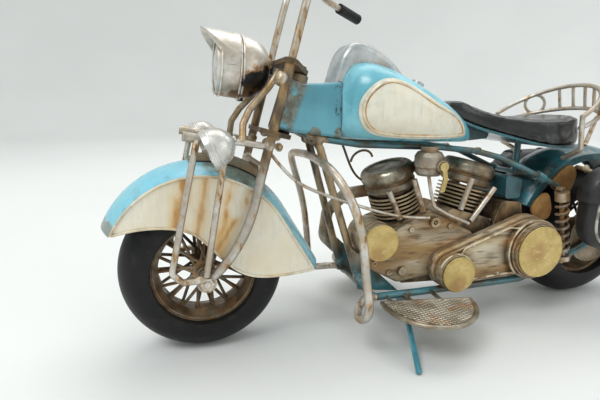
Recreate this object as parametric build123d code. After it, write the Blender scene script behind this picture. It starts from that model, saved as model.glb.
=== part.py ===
from build123d import *
import math
import os

# Tin display motorcycle. Millimetres. The front wheel points to -X, the bike's left side to -Y,
# +Z is up, and z = 0 is the ground. The wheels stand upright on the ground.

# Driving dimensions
TYRE_RADIUS = 40.0
TYRE_SECTION = 13.7          # radius of the round tyre section
WHEELBASE = 230.0
RAKE = 15.9                  # steering axis, degrees back from vertical
STEER_X, STEER_Z = -65.4, 131.0   # where the steering axis leaves the top of the head tube
LEG_OFFSET = 10.5            # fork legs stand this far in front of the steering axis
LEG_Y = 22.0                 # fork legs, sideways from the middle
RUN = 0.05                   # running clearance of every turning fit
GAP = 0.1                    # gap between pieces that only sit next to each other

AXLE_Z = TYRE_RADIUS
FRONT_X = -WHEELBASE / 2
REAR_X = WHEELBASE / 2
SLOPE = math.tan(math.radians(RAKE))
RAKE_SIN, RAKE_COS = math.sin(math.radians(RAKE)), math.cos(math.radians(RAKE))
STEER = Plane(origin=(STEER_X, 0, STEER_Z), x_dir=(RAKE_COS, 0, -RAKE_SIN), z_dir=(RAKE_SIN, 0, RAKE_COS))

parts = {}


# ---------------------------------------------------------------- helpers

def mirror_pair(solid):
    """The left-hand solid and its mirror image on the right."""
    return Compound(children=[solid, mirror(solid, about=Plane.XZ)])


def group(solids):
    return Compound(children=list(solids))


def bar(points, radius, bend=None):
    """A round bar: straight runs with bends of one radius, or a smooth curve through the points."""
    if len(points) == 2:
        path = Line(*points)
    elif bend is None:
        path = Spline(*points)
    else:
        path = FilletPolyline(*points, radius=bend)
    return sweep(Plane(origin=path @ 0, z_dir=path % 0) * Circle(radius), path=path)


def rod(start, end, radius):
    """A straight round bar with rounded ends."""
    return bar([start, end], radius) + Pos(*start) * Sphere(radius) + Pos(*end) * Sphere(radius)


def across(x, y_from, y_to, z, radius):
    """A round bar lying along Y."""
    return Pos(x, (y_from + y_to) / 2, z) * Rot(90, 0, 0) * Cylinder(radius, abs(y_to - y_from))


def slab(outline, y_from, y_to):
    """A flat XZ outline pushed along Y."""
    face = make_face(Plane.XZ * outline) if not isinstance(outline, Sketch) else Plane.XZ * outline
    return extrude(Pos(0, y_from, 0) * face, amount=y_to - y_from, dir=(0, 1, 0))


def turned(profile, x, z, side=1):
    """A ring turned about an axle along Y. The profile is (radius, y) points."""
    wire = Polyline(*[(r, side * y) for r, y in profile], close=True)
    return Pos(x, 0, z) * revolve(make_face(wire), Axis.Y)


def leg_x(z):
    """Where the fork legs' straight part stands at a height."""
    return STEER_X - LEG_OFFSET / RAKE_COS + SLOPE * (z - STEER_Z)


# ---------------------------------------------------------------- wheels

RIM_OUTER = 25.0
RIM_HALF = 9.4
SPOKE_PAIRS = 9


def tyre(x):
    section = Pos(TYRE_RADIUS - TYRE_SECTION, 0) * Circle(TYRE_SECTION)
    seat = Pos(RIM_OUTER / 2, 0) * Rectangle(RIM_OUTER + 2 * GAP, 2 * TYRE_SECTION + 2)
    return Pos(x, 0, AXLE_Z) * revolve(section - seat, Axis.Y)


def rim(x):
    lip, well = 23.6, 21.6
    profile = [(RIM_OUTER, -RIM_HALF), (RIM_OUTER, RIM_HALF), (lip, RIM_HALF), (lip, RIM_HALF - 1.2),
               (well, 3.5), (well, -3.5), (lip, 1.2 - RIM_HALF), (lip, -RIM_HALF)]
    return turned(profile, x, AXLE_Z)


def spoked_hub(x, bore, half_length, flange_radius, drum=None):
    """The hub with its crossed spokes soldered in; the spokes end on the rim's well."""
    flange_y, spoke_radius, spoke_end, lean = 6.5, 0.8, 21.9, 30.0
    hub = across(0, -half_length, half_length, 0, bore + 2.0)
    for side in (-1, 1):
        hub += across(0, side * (flange_y - 1), side * (flange_y + 1), 0, flange_radius)
        for pair in range(SPOKE_PAIRS):
            for turn in (-lean, lean):
                base = math.radians(360 / SPOKE_PAIRS * (pair + side / 4))
                tip = base + math.radians(turn)
                hub += bar([((flange_radius - 1) * math.cos(base), side * flange_y,
                             (flange_radius - 1) * math.sin(base)),
                            (spoke_end * math.cos(tip), side * 2.0, spoke_end * math.sin(tip))],
                            spoke_radius)
    if drum:
        radius, y_from, y_to = drum
        hub += across(0, y_from, y_to, 0, radius)
    return Pos(x, 0, AXLE_Z) * (hub - across(0, -2 * half_length, 2 * half_length, 0, bore))


def hex_nut(x, y_from, y_to, across_corners):
    return slab(Pos(x, AXLE_Z) * RegularPolygon(across_corners / 2, 6), y_from, y_to)


FRONT_AXLE_R = 1.5
REAR_AXLE_R = 2.0
DRUM_RADIUS = 16.0

parts["front_tyre"] = tyre(FRONT_X)
parts["front_rim"] = rim(FRONT_X)
parts["front_hub"] = spoked_hub(FRONT_X, FRONT_AXLE_R + RUN, 12.0, 5.5) - parts["front_rim"]
parts["rear_tyre"] = tyre(REAR_X)
parts["rear_rim"] = rim(REAR_X)
rear_hub = spoked_hub(REAR_X, REAR_AXLE_R + RUN, 13.0, 6.5, drum=(DRUM_RADIUS, -16.2, -12.0))
parts["rear_hub"] = rear_hub - parts["rear_rim"]

front_axle = across(FRONT_X, -26, 26, AXLE_Z, FRONT_AXLE_R)
rear_axle = across(REAR_X, -20, 20, AXLE_Z, REAR_AXLE_R)
for side in (-1, 1):
    front_axle += across(FRONT_X, side * 12.4, side * 19.6, AXLE_Z, 2.6)
    front_axle += hex_nut(FRONT_X, side * 23.6, side * 25.4, 6.4)
    rear_axle += hex_nut(REAR_X, side * 18.6, side * 20.0, 7.4)
parts["rear_axle"] = rear_axle


# ---------------------------------------------------------------- fork and handlebars

LEG_RADIUS = 2.2
STEM_RADIUS = 3.0
HEAD_TUBE_RADIUS = 5.0
YOKE_TOP = (2.5, 4.8)         # along the steering axis, from STEER_Z
YOKE_BOTTOM = (-29.5, -27.2)


def fork_leg():
    points = [(leg_x(z), -LEG_Y, z) for z in (137, 118, 100, 86)]
    points += [(-94.2, -LEG_Y, 68), (-100.5, -LEG_Y, 55.5), (-107.5, -LEG_Y, 46.5),
               (FRONT_X + 2, -LEG_Y, AXLE_Z + 2)]
    leg = bar(points, LEG_RADIUS) + across(FRONT_X, -23.5, -21, AXLE_Z, 4.5)
    return leg - across(FRONT_X, -30, -10, AXLE_Z, FRONT_AXLE_R)


def yoke(levels):
    """A flat clamp plate that ties both legs to the steering stem."""
    low, high = levels
    plate = make_hull([*Circle(4.2).edges()]
                      + [e for y in (-LEG_Y, LEG_Y) for e in (Pos(-LEG_OFFSET, y) * Circle(3.0)).edges()])
    return STEER * (Pos(0, 0, low) * extrude(plate, high - low))


BAR_RADIUS = 1.8
GRIP_RADIUS = 3.1
BAR_PATH = [(leg_x(137.2), 22, 137.2), (leg_x(150), 22, 150), (leg_x(164), 22, 164), (-61, 24.5, 180),
            (-54, 33, 187.5), (-44, 43.5, 184.5), (-36, 49.5, 180), (-22, 58, 175.5), (-8, 66, 171.8)]


def right_bar():
    return bar(BAR_PATH, BAR_RADIUS)


def right_grip():
    grip = bar([BAR_PATH[-2], (-5.5, 67.4, 171.2)], GRIP_RADIUS)
    return grip - right_bar()


handlebar = mirror_pair(right_bar())
parts["handlebar"] = handlebar
legs = mirror_pair(fork_leg())
cross_tube = across(leg_x(91), -LEG_Y + LEG_RADIUS, LEG_Y - LEG_RADIUS, 91, 1.8)
parts["fork_legs"] = legs + cross_tube
stem_length = YOKE_TOP[1] + 1.5 - YOKE_BOTTOM[0]
stem = STEER * (Pos(0, 0, YOKE_BOTTOM[0]) * extrude(Circle(STEM_RADIUS), stem_length))
parts["steering_stem"] = stem + yoke(YOKE_BOTTOM) - legs
parts["upper_yoke"] = yoke(YOKE_TOP) - legs - stem - handlebar

parts["handlebar_grips"] = mirror_pair(right_grip())


# ---------------------------------------------------------------- front fender

FENDER_X, FENDER_Z = -116.0, 45.0     # centre of the fender's arc
FENDER_EDGE_R = 43.5                  # radius of the line where crown and skirts meet
FENDER_HALF = 17.0
SHEET = 0.9                           # sheet metal


def polar(x, z, radius, degrees):
    return (x + radius * math.cos(math.radians(degrees)), z + radius * math.sin(math.radians(degrees)))


def arch_section(half, rise):
    """Crown cross-section: a low arch of sheet, standing on y = -half and y = half."""
    outer = ThreePointArc((-half, 0), (0, rise), (half, 0))
    inner = ThreePointArc((-half + SHEET, 0), (0, rise - SHEET), (half - SHEET, 0))
    feet = [Line((-half, 0), (-half + SHEET, 0)), Line((half - SHEET, 0), (half, 0))]
    return make_face([*outer.edges(), *inner.edges(), *feet[0].edges(), *feet[1].edges()])


def crown(path, half, rise):
    return sweep(Plane(origin=path @ 0, x_dir=(0, 1, 0), z_dir=path % 0) * arch_section(half, rise),
                 path=path)


def to_3d(point):
    return (point[0], 0, point[1])


FENDER_FRONT, FENDER_BACK = 155.0, 30.5        # degrees round the arc
TAIL_RUN = 33.5                                # straight run behind the arc
edge_front = polar(FENDER_X, FENDER_Z, FENDER_EDGE_R, FENDER_FRONT)
edge_top = polar(FENDER_X, FENDER_Z, FENDER_EDGE_R, 92)
edge_back = polar(FENDER_X, FENDER_Z, FENDER_EDGE_R, FENDER_BACK)
tail_dir = (math.sin(math.radians(FENDER_BACK)), -math.cos(math.radians(FENDER_BACK)))
edge_tail = (edge_back[0] + TAIL_RUN * tail_dir[0], edge_back[1] + TAIL_RUN * tail_dir[1])

fender_path = Wire([ThreePointArc(to_3d(edge_front), to_3d(edge_top), to_3d(edge_back)).edges()[0],
                    Line(to_3d(edge_back), to_3d(edge_tail)).edges()[0]])
parts["front_fender"] = crown(fender_path, FENDER_HALF, 5.0)


def skirt_outline():
    upper = ThreePointArc(edge_front, edge_top, edge_back)
    tail = Line(edge_back, edge_tail)
    lower = Spline(edge_tail, (-80, 37), (-96, 39.6), (-107.5, 49), (-121, 62), (-137, 65.8), edge_front)
    return make_face([*upper.edges(), *tail.edges(), *lower.edges()])


skirt = slab(skirt_outline(), -FENDER_HALF, -FENDER_HALF + SHEET)
parts["fender_skirts"] = mirror_pair(skirt - parts["front_fender"])

LEAF_THICK, LEAF_HALF = 1.3, 5.5
CROWN_R = FENDER_EDGE_R + 5.0


def leaf(level, front_degrees, back_degrees):
    """One curved leaf of the spring that lies along the crown."""
    inner = CROWN_R + 0.15 + level * (LEAF_THICK + 0.02)
    ring = Circle(inner + LEAF_THICK) - Circle(inner)
    wedge = make_face(Polyline((0, 0), polar(0, 0, 90, back_degrees),
                               polar(0, 0, 90, (front_degrees + back_degrees) / 2),
                               polar(0, 0, 90, front_degrees), close=True))
    return slab(Pos(FENDER_X, FENDER_Z) * (ring & wedge), -LEAF_HALF, LEAF_HALF)


leaves = (leaf(0, 94, 52), leaf(1, 90, 53), leaf(2, 86, 54))
parts["leaf_spring"] = group([one - cross_tube for one in leaves])


# ---------------------------------------------------------------- struts, lamps

STRUT_RADIUS = 1.5
STRUT_Y = 24.4
BAR_Y = 21.0
LAMP_BAR_Z = 103.0


def left_struts():
    """Horizontal lamp bar with its bolt end, and the two struts that hang from it to the axle."""
    front_end = (-115.0, -BAR_Y, 105.0)
    body = bar([(leg_x(100.5), -LEG_Y + 1, 100.5), (-98, -BAR_Y, LAMP_BAR_Z), front_end], STRUT_RADIUS,
               bend=8)
    body += bar([front_end, (-122.0, -BAR_Y - 0.5, 106.4)], 2.2)
    body += bar([(-116.0, -BAR_Y, 105.0), (-117.2, -STRUT_Y, 101.5), (-122.0, -STRUT_Y, 81.5),
                 (-130.0, -STRUT_Y, 46.5), (-125.5, -STRUT_Y, 41.8), (-118.2, -STRUT_Y, 42.2)],
                STRUT_RADIUS, bend=2.4)
    body += bar([(-103.6, -BAR_Y, 103.4), (-105.4, -STRUT_Y, 95.5), (-115.2, -STRUT_Y, 43.6)], STRUT_RADIUS,
                bend=3)
    return body


LAMP_X, LAMP_Y, LAMP_Z = -111.2, -34.6, 101.6
LAMP_DROP = 24.0              # spot lamps look down by this many degrees
SPOT_PLACE = (LAMP_X, LAMP_Y, LAMP_Z, -LAMP_DROP)
PIVOT_X, PIVOT_Z = -108.0, 104.0
PIVOT_RADIUS = 1.0
HUB_RADIUS = 2.6


def lathe_x(profile, x, y, z, tilt):
    """Turned about a lamp's own axis. The outline is in (distance back from the lens, radius)."""
    edges = profile if isinstance(profile, ShapeList) else Polyline(*profile, close=True).edges()
    return Pos(x, y, z) * Rot(0, tilt, 0) * revolve(make_face(edges), Axis.X)


def bowl_curve(points, outward):
    """A smooth lamp bowl: it leaves the rim along the axis and crosses the axis squarely."""
    ends = ((1, 0), (0, -1)) if outward else ((0, 1), (-1, 0))
    return Spline(*points, tangents=ends).edges()


def spot_shell():
    lip = [(-2.2, 8.4), (0.2, 8.7), (0.5, 8.1)]
    outside = bowl_curve([(0.5, 8.1), (3.4, 7.7), (6.4, 6.3), (8.5, 3.9), (9.4, 0)], True)
    inside = bowl_curve([(8.5, 0), (7.5, 3.6), (5.6, 5.6), (3.0, 6.9), (0, 7.4)], False)
    mouth = Polyline((0, 7.4), (-2.2, 7.4), *lip).edges()
    bowl = lathe_x(mouth + outside + Line((9.4, 0), (8.5, 0)).edges() + inside, *SPOT_PLACE)
    solid = lathe_x(Polyline((9.4, 0), (-2.2, 0), *lip).edges() + outside, *SPOT_PLACE)
    pin = across(PIVOT_X, LAMP_Y + 2, -18.0, PIVOT_Z, PIVOT_RADIUS) - solid
    return bowl + pin.solids().sort_by(Axis.Y)[-1] + across(PIVOT_X, -18.1, -16.4, PIVOT_Z, 1.9)


def spot_glass():
    lens = [(-2.1, 0), (-2.1, 7.3), (-0.9, 7.3), (-0.9, 0)]
    return lathe_x(lens, *SPOT_PLACE)


pivot_eye = across(PIVOT_X, -23.0, -18.4, PIVOT_Z, HUB_RADIUS)
pivot_hole = across(PIVOT_X, -40, -10, PIVOT_Z, PIVOT_RADIUS + RUN)
struts = (left_struts() + pivot_eye) - pivot_hole
parts["fork_struts"] = mirror_pair(struts - legs)
parts["left_spot_lamp"] = spot_shell()
parts["left_spot_glass"] = spot_glass()
parts["right_spot_lamp"] = mirror(spot_shell(), about=Plane.XZ)
parts["right_spot_glass"] = mirror(spot_glass(), about=Plane.XZ)

HEAD_X, HEAD_Z = -95.0, 136.0
HEAD_TILT = 4.0


def headlamp_piece(profile):
    return lathe_x(profile, HEAD_X, 0, HEAD_Z, HEAD_TILT)


bucket_out = Spline((0.05, 14.2), (5, 13.9), (9.2, 12.5), (12.8, 9.4), (14.9, 5.4), (15.6, 2.2)).edges()
bucket_in = bowl_curve([(14.4, 0), (13.7, 4.4), (11.5, 8.4), (8.2, 11.2), (4.4, 12.7), (0.05, 13.0)], False)
socket = Polyline((15.6, 2.2), (17.4, 2.0), (17.4, 0), (14.4, 0)).edges()
bucket_edge = Line((0.05, 13.0), (0.05, 14.2)).edges()
parts["headlamp_bucket"] = headlamp_piece(bucket_out + socket + bucket_in + bucket_edge)
parts["headlamp_glass"] = headlamp_piece([(-10.6, 0), (-10.3, 5), (-9.2, 12.0), (-8.2, 12.0), (-9.3, 5),
                                          (-9.6, 0)])


def headlamp_rim():
    ring = headlamp_piece([(-9.8, 12.1), (-10.2, 12.9), (-8, 13.6), (-1.2, 14.2), (0, 14.2), (0, 13.0),
                           (-7.5, 12.1)])
    shell = lathe_x([(-17, 16.4), (0, 15.1), (0, 14.2), (-1.2, 14.2), (-8, 13.6), (-17, 15.5)], 0, 0, 0, 0)
    front = ThreePointArc((0, -14), (-17, 0), (0, 14))
    outline = make_face(front.edges() + Line(front @ 1, front @ 0).edges())
    brim = shell & extrude(outline, 30)
    return ring + Pos(HEAD_X, 0, HEAD_Z) * Rot(0, HEAD_TILT, 0) * brim


parts["headlamp_rim"] = headlamp_rim()

STAY_RADIUS = 1.6
parts["headlamp_stays"] = mirror_pair(
    bar([(leg_x(134) - 1.5, -9, 134), (-82, -11, 127), (-92, -14.5, 116.8), (-95.8, -18, 110.5),
         (-96.6, -BAR_Y, 103.6)],
        STAY_RADIUS, bend=5)) - parts["fork_struts"] - parts["upper_yoke"]

# ---------------------------------------------------------------- main frame

TUBE = 2.0
RAIL_Y, RAIL_Z = 20.0, 20.5          # bottom rails
STAY_Y = 18.6                        # rear stays
TOP_RAIL = 1.6
PLATE_Y = (17.0, 18.5)               # rear axle plates
SHOCK_TOP = (81.0, -23.5, 70.0)
SHOCK_FOOT = (87.0, -23.5, 30.5)
STAND_PIVOT = (-13.6, -23.0, 15.8)
STAND_TILT = (0.342, 0.940)          # the stand's pin leans out by 20 degrees: sine and cosine
STAND_PIN = 1.2


def left_frame():
    """Downtube and bottom rail in one bend, top rail and rear stay in one bend, axle plate and gusset."""
    lower = bar([(-59.5, -4.5, 103.5), (-56.5, -8.5, 98), (-37, -13.5, 30),
                 (-31, -19.5, RAIL_Z), (0, -RAIL_Y, RAIL_Z),
                 (60, -RAIL_Y, RAIL_Z), (86, -STAY_Y - 0.6, 27.5), (112, -STAY_Y, 37.5)], TUBE, bend=5)
    upper = bar([(-69.2, -4.2, 107.6), (-60, -8.5, 103), (-36, -9.5, 99.0),
                 (10, -10.5, 96.3), (29, -14.5, 94.2),
                 (42, -17, 90.6), (56, -STAY_Y, 84.6), (SHOCK_TOP[0] + 1, -STAY_Y, 73)], TOP_RAIL, bend=5)
    plate = across(REAR_X, -PLATE_Y[1], -PLATE_Y[0], AXLE_Z, 6.0)
    gusset = slab(Polyline((-42.5, 48), (-37.5, 24), (-14, RAIL_Z), (-24, 30), close=True), -15.4, -14.2)
    clamp = bar([(66.5, -STAY_Y, 80.0), (71.5, -STAY_Y, 77.5)], 2.7)
    return lower + upper + plate + gusset + clamp


head_tube = STEER * (Pos(0, 0, -26) * extrude(Circle(HEAD_TUBE_RADIUS), 28))
stem_bore = STEER * (Pos(0, 0, -40) * extrude(Circle(STEM_RADIUS + RUN), 60))
STAND_AXIS = Plane(origin=STAND_PIVOT, x_dir=(1, 0, 0), z_dir=(0, -STAND_TILT[0], STAND_TILT[1]))
stand_lug = STAND_AXIS * (Pos(0, 2.0, 1.6) * Box(7, 8.4, 2.0))
stand_pin = STAND_AXIS * (Pos(0, 0, -3.4) * extrude(Circle(STAND_PIN), 6))
stand_head = STAND_AXIS * (Pos(0, 0, -4.0) * extrude(Circle(2.2), 1.2))
cross_tubes = across(-33, -19, 19, 23.5, 1.6) + across(60, -RAIL_Y, RAIL_Y, RAIL_Z, 1.6)
cross_tubes += across(68.6, -STAY_Y, STAY_Y, 79.0, 1.4)
frame = left_frame()
frame += mirror(frame, about=Plane.XZ) + cross_tubes + head_tube
frame += stand_lug + stand_pin + stand_head
parts["main_frame"] = frame - stem_bore - across(REAR_X, -30, 30, AXLE_Z, REAR_AXLE_R)

STAND_LEG = 1.4
STAND_FOOT = (-26.2, -59.4, STAND_LEG)


def kickstand():
    """The leg turns on the pin under the left rail and lies back along the rail when folded."""
    below = 1.1
    top = (STAND_PIVOT[0], STAND_PIVOT[1] + below * STAND_TILT[0], STAND_PIVOT[2] - below * STAND_TILT[1])
    leg = bar([top, STAND_FOOT], STAND_LEG) + Pos(*STAND_FOOT) * Sphere(STAND_LEG)
    collar = STAND_AXIS * (Pos(0, 0, -2.6) * extrude(Circle(3.0), 3.0))
    return leg + collar - STAND_AXIS * (Pos(0, 0, -10) * extrude(Circle(STAND_PIN + RUN), 20))


parts["kickstand"] = kickstand()

# ---------------------------------------------------------------- neck, tank, dash

TANK_STATIONS = [                    # x, top, bottom, half width
    (-46.5, 130.0, 102.2, 13.0), (-43.0, 135.2, 102.0, 17.5), (-37.0, 138.4, 101.6, 22.5),
    (-26.0, 136.8, 101.2, 26.0), (-10.0, 129.0, 100.4, 26.6), (4.0, 121.6, 99.8, 23.6),
    (16.0, 114.6, 99.2, 18.5), (25.0, 108.2, 98.8, 12.5), (30.5, 103.4, 98.8, 6.0)]


def tank_body(grow):
    """Rounded sections along the tank, joined by one smooth surface."""
    sections = []
    for x, top, bottom, half in TANK_STATIONS:
        width, height = 2 * (half + grow), top - bottom + 2 * grow
        corner = 0.42 * min(width, height)
        sections.append(Plane(origin=(x, 0, (top + bottom) / 2), x_dir=(0, 1, 0), z_dir=(1, 0, 0))
                        * RectangleRounded(width, height, corner))
    return loft(sections)


def neck_cover():
    """Sheet cover between the head tube and the tank, open at both ends."""
    def block(inset):
        half = 11.5 - inset
        side = Polyline((-70.4, 131 - inset), (-66, 128.6 - inset), (-56, 128.8 - inset),
                        (-46.6, 129.6 - inset), (-46.6, 102.4 + inset), (-66, 105.4 + inset),
                        (-78.3, 107.3 + inset), close=True)
        solid = slab(side, -half, half)
        rims = solid.edges().filter_by(Axis.Y, reverse=True)
        edges = [e for e in rims if abs(abs(e.center().Y) - half) < 0.01]
        return fillet([e for e in edges if abs(e.center().Z - 118) > 8 and e.length > 5], 2.2 - inset)
    cover = block(0) - block(SHEET)
    head_space = STEER * (Pos(0, 0, -60) * extrude(Circle(HEAD_TUBE_RADIUS + GAP), 100))
    return cover - head_space - parts["main_frame"]


PANEL = 0.8


def panel_outline():
    return make_face(Spline((-41.2, 114.5), (-38.6, 124.4), (-30.5, 130.4), (-16, 127.2), (2, 117.6),
                            (18.2, 107.4), (19.6, 103.4), (14, 101.9), (-8, 102.0), (-26, 103.2),
                            (-37.5, 107.2), periodic=True).edges())


tank = tank_body(0)
panel_block = slab(panel_outline(), -40, -1)
panel = (tank_body(PANEL) & panel_block) - tank
panel = panel.solids().sort_by(Axis.Y)[0]
parts["fuel_tank"] = tank - parts["main_frame"]
parts["tank_panels"] = mirror_pair(panel)
parts["neck_cover"] = neck_cover()


def dash_console():
    """The instrument hump that rides on the middle of the tank, with its low tail and filler cap."""
    hump = slab(dash_side(), -9.0, 9.0)
    hump = fillet(hump.edges().filter_by(GeomType.BSPLINE), 3.0)
    tail = slab(Polyline((-20, 137), (-14, 134.6), (4, 125.4), (4, 120), (-20, 128), close=True), -4.0, 4.0)
    cap = Pos(0, 0, 127.8) * Rot(0, 28, 0) * Cylinder(3.4, 4.4)
    return hump + tail + cap - tank - parts["neck_cover"]


def dash_side():
    top = Spline((-50, 128), (-47.2, 136.4), (-43.6, 144.2), (-39.2, 147.8), (-32, 147.4), (-23, 143.2),
                 (-15, 136.6), (-10, 130))
    return make_face(top.edges() + Polyline((-10, 130), (-10, 122), (-50, 122), (-50, 128)).edges())


parts["dash_console"] = dash_console()

# ---------------------------------------------------------------- engine

FRONT_LEAN, REAR_LEAN = -17.6, 16.8         # cylinders, degrees from vertical
FRONT_BASE = (-8.0, 60.0)
REAR_BASE = (28.8, 60.0)
BARREL_LENGTH = 15.0
CASE_HALF = 15.0
COVER_FACE = -20.0


def on_cylinder(base, lean):
    return Pos(base[0], 0, base[1]) * Rot(0, lean, 0)


def barrel(base, lean):
    """Finned barrel standing on the crankcase."""
    core_radius, fin_radius, fin_thick, pitch = 10.6, 13.3, 0.9, 2.1
    solid = Pos(0, 0, BARREL_LENGTH / 2 - 1) * Cylinder(core_radius, BARREL_LENGTH - 2 + 2)
    fins = int((BARREL_LENGTH - 2) / pitch)
    for level in range(fins):
        solid += Pos(0, 0, 2 + level * pitch) * Cylinder(fin_radius, fin_thick)
    return on_cylinder(base, lean) * solid


def cylinder_head(base, lean):
    """Rounded pancake head: a flanged lower band, a groove, and a domed cap with a recessed top."""
    z = BARREL_LENGTH
    band = Polyline((0, z), (12.4, z), (13.6, z + 0.9), (13.6, z + 3.6), (12.6, z + 4.4), (12.6, z + 5.0))
    dome = Spline((12.6, z + 5.0), (14.0, z + 6.1), (14.7, z + 8.6), (14.0, z + 11.2), (12.2, z + 12.8))
    top = Polyline((12.2, z + 12.8), (11.0, z + 12.6), (10.2, z + 11.7), (0, z + 11.7), (0, z))
    cap = revolve(Plane.XZ * make_face(band.edges() + dome.edges() + top.edges()), Axis.Z)
    return on_cylinder(base, lean) * cap


def crankcase():
    outline = Polyline((-21.3, 55.8), (3.4, 63.6), (10.5, 61.2), (17.5, 63.4), (42.4, 55.8),
                       (37.4, 40), (31, 28), (10, 23.2), (-12, 24.4), (-21, 36), close=True)
    case = slab(outline, -CASE_HALF, CASE_HALF)
    return fillet(case.edges().filter_by(Axis.Y).group_by(Axis.Z)[0], 4.0)


barrels = group([barrel(FRONT_BASE, FRONT_LEAN), barrel(REAR_BASE, REAR_LEAN)])
heads = group([cylinder_head(FRONT_BASE, FRONT_LEAN), cylinder_head(REAR_BASE, REAR_LEAN)])
parts["cylinders"] = barrels
parts["cylinder_heads"] = heads
parts["crankcase"] = crankcase() - barrels

GENERATOR = (-30.6, 52.1, 9.2)       # x, z, radius
PRIMARY_FRONT = (11.0, 33.7, 10.5)
PRIMARY_REAR = (58.0, 42.0, 17.2)
PRIMARY_STEP, PRIMARY_FACE = -24.2, -25.5


def drum_y(x, z, steps):
    """Stepped round boss along Y: each step is (radius, y from, y to)."""
    solid = across(x, steps[0][1], steps[0][2], z, steps[0][0])
    for radius, y_from, y_to in steps[1:]:
        solid += across(x, y_from, y_to, z, radius)
    return solid


def hull(circles):
    """The rubber-band outline round circles given as (x, z, radius)."""
    return make_hull([e for cx, cz, cr in circles for e in (Pos(cx, cz) * Circle(cr)).edges()])


x, z, r = GENERATOR
parts["generator"] = drum_y(x, z, [(r, -26, -6), (r + 0.35, -20.6, -18.6), (r - 1.5, -6, -2)])
SIDE_LOBES = ((-25, 42.6, 9.6), (-15.6, 32.4, 5.4), (1.2, 59.0, 4.6), (24, 48, 4.0), (4, 34, 5))
side_plate = slab(hull(SIDE_LOBES), COVER_FACE, -CASE_HALF - GAP)
side_cover = fillet(side_plate.edges().group_by(Axis.Y)[0], 1.8)
side_cover += across(2.6, -22.0, COVER_FACE, 58.6, 2.6) + across(-15.2, -21.6, COVER_FACE, 33.8, 2.2)
side_cover -= across(2.6, -22.5, -20.6, 58.6, 1.2) + across(x, -40, 0, z, r + 0.45)
for screw_x, screw_z in ((-31.0, 39.4), (-22.5, 33.4), (-10.5, 55.6), (12.4, 55.6)):
    side_cover += across(screw_x, COVER_FACE - 1.0, COVER_FACE, screw_z, 1.3)
parts["engine_side_cover"] = side_cover - parts["main_frame"]

primary_case = slab(hull((PRIMARY_FRONT, PRIMARY_REAR)), PRIMARY_STEP, COVER_FACE - GAP)
raised = [(cx, cz, cr - 2.2) for cx, cz, cr in (PRIMARY_FRONT, PRIMARY_REAR)]
raised_case = slab(hull(raised), PRIMARY_FACE, PRIMARY_STEP)
primary = fillet(primary_case.edges().group_by(Axis.Y)[0], 1.5)
primary += fillet(raised_case.edges().group_by(Axis.Y)[0], 0.8)
primary += drum_y(12.4, 32.4, [(9.9, -30.2, PRIMARY_STEP)])
primary += drum_y(61.4, 40.4, [(16.8, -28.4, PRIMARY_STEP), (15.6, -30.0, -28.4), (14.6, -32.0, -30.0)])
parts["primary_cover"] = primary
CAP = 1.1
parts["round_caps"] = group([across(x, -26 - CAP, -26, z, 9.0), across(12.4, -30.2 - CAP, -30.2, 32.4, 9.2),
                             across(61.4, -32 - CAP, -32, 40.4, 13.9)])

gear_outline = Polyline((40.5, 40), (60, 40), (63, 52), (60.6, 64.4), (48, 66), (44.5, 58), close=True)
gear_case = slab(gear_outline, -16, 16)
parts["gearbox"] = fillet(gear_case.edges().filter_by(Axis.Y), 2.4) - parts["crankcase"] - barrels

PUSHROD_Y = -15.6
PUSHRODS = [((-21.6, 75.4), (-14.8, 60.5)), ((-7.6, 80.8), (-1.4, 63.6)), ((27.4, 79.6), (21.6, 62.8)),
            ((42.3, 73.6), (28.4, 56.0))]
around = heads + parts["crankcase"] + parts["engine_side_cover"]
parts["pushrod_tubes"] = group([bar([(ax, PUSHROD_Y, az), (bx, PUSHROD_Y, bz)], 1.5) - around
                                for (ax, az), (bx, bz) in PUSHRODS])

CARB = (-1.6, -18.8)
TAP = (1.2, 88.6)                    # tap pivot, x and z
TAP_PIN = 0.9


def carburettor():
    x, y = CARB
    profile = [(0, 83.4), (5.6, 83.4), (6.6, 84.6), (6.6, 87.2), (7.3, 88.0), (7.3, 93.2), (6.0, 95.2),
               (4.4, 95.8), (4.4, 98.0), (0, 98.0)]
    bowl = Pos(x, y, 0) * revolve(make_face(Plane.XZ * Polyline(*profile, close=True)), Axis.Z)
    throat = bar([(x, y + 6, 88), (x + 1, -5, 86)], 3.2)
    boss = across(TAP[0], y - 8.6, y, TAP[1], 3.0)
    return bowl + throat + boss - across(TAP[0], y - 12, y - 2, TAP[1], TAP_PIN + RUN)


def tap_lever():
    """Flat brass lever on a pin in the carburettor's side."""
    x, y = CARB
    plate_from, plate_to = y - 10.0, y - 8.9
    lever = across(TAP[0], plate_from, plate_to, TAP[1], 2.2)
    lever += across(TAP[0], plate_from, y - 3, TAP[1], TAP_PIN)
    handle = Polyline((-1.1, 0), (1.1, 0), (2.2, -6), (0.6, -12.4), (-1.8, -12.4), (-0.2, -6), close=True)
    lever += slab(Pos(*TAP) * handle, plate_from, plate_to)
    return lever


parts["carburettor"] = carburettor() - heads
parts["fuel_tap_lever"] = tap_lever()
parts["fuel_pipe"] = bar([(-1.6, -19.2, 83.2), (-0.6, -21, 74), (0.8, -22.6, 67.4), (8, -23, 63.2),
                          (22.4, -22, 56.8)], 0.9, bend=2.5)
parts["control_cable"] = bar([(-69, -18.6, 81.6), (-54.4, -18.6, 75.0), (-33.6, -20.5, 67.8),
                              (-17.2, -21.6, 62.6), (-1.4, -21.8, 61.6)], 0.9)
parts["plug_wires"] = group([
    bar([(-43.5, -3, 100.6), (-40.5, -5, 92), (-36.6, -5.5, 84), (-32.2, -5, 80.2)], 0.6),
    bar([(-39.5, -7.4, 90.2), (-35.5, -7.4, 95.2), (-30.8, -7.4, 95.6), (-27.6, -7.0, 92.4)], 0.6)])

# ---------------------------------------------------------------- exhaust, crash bar, footboards

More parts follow.
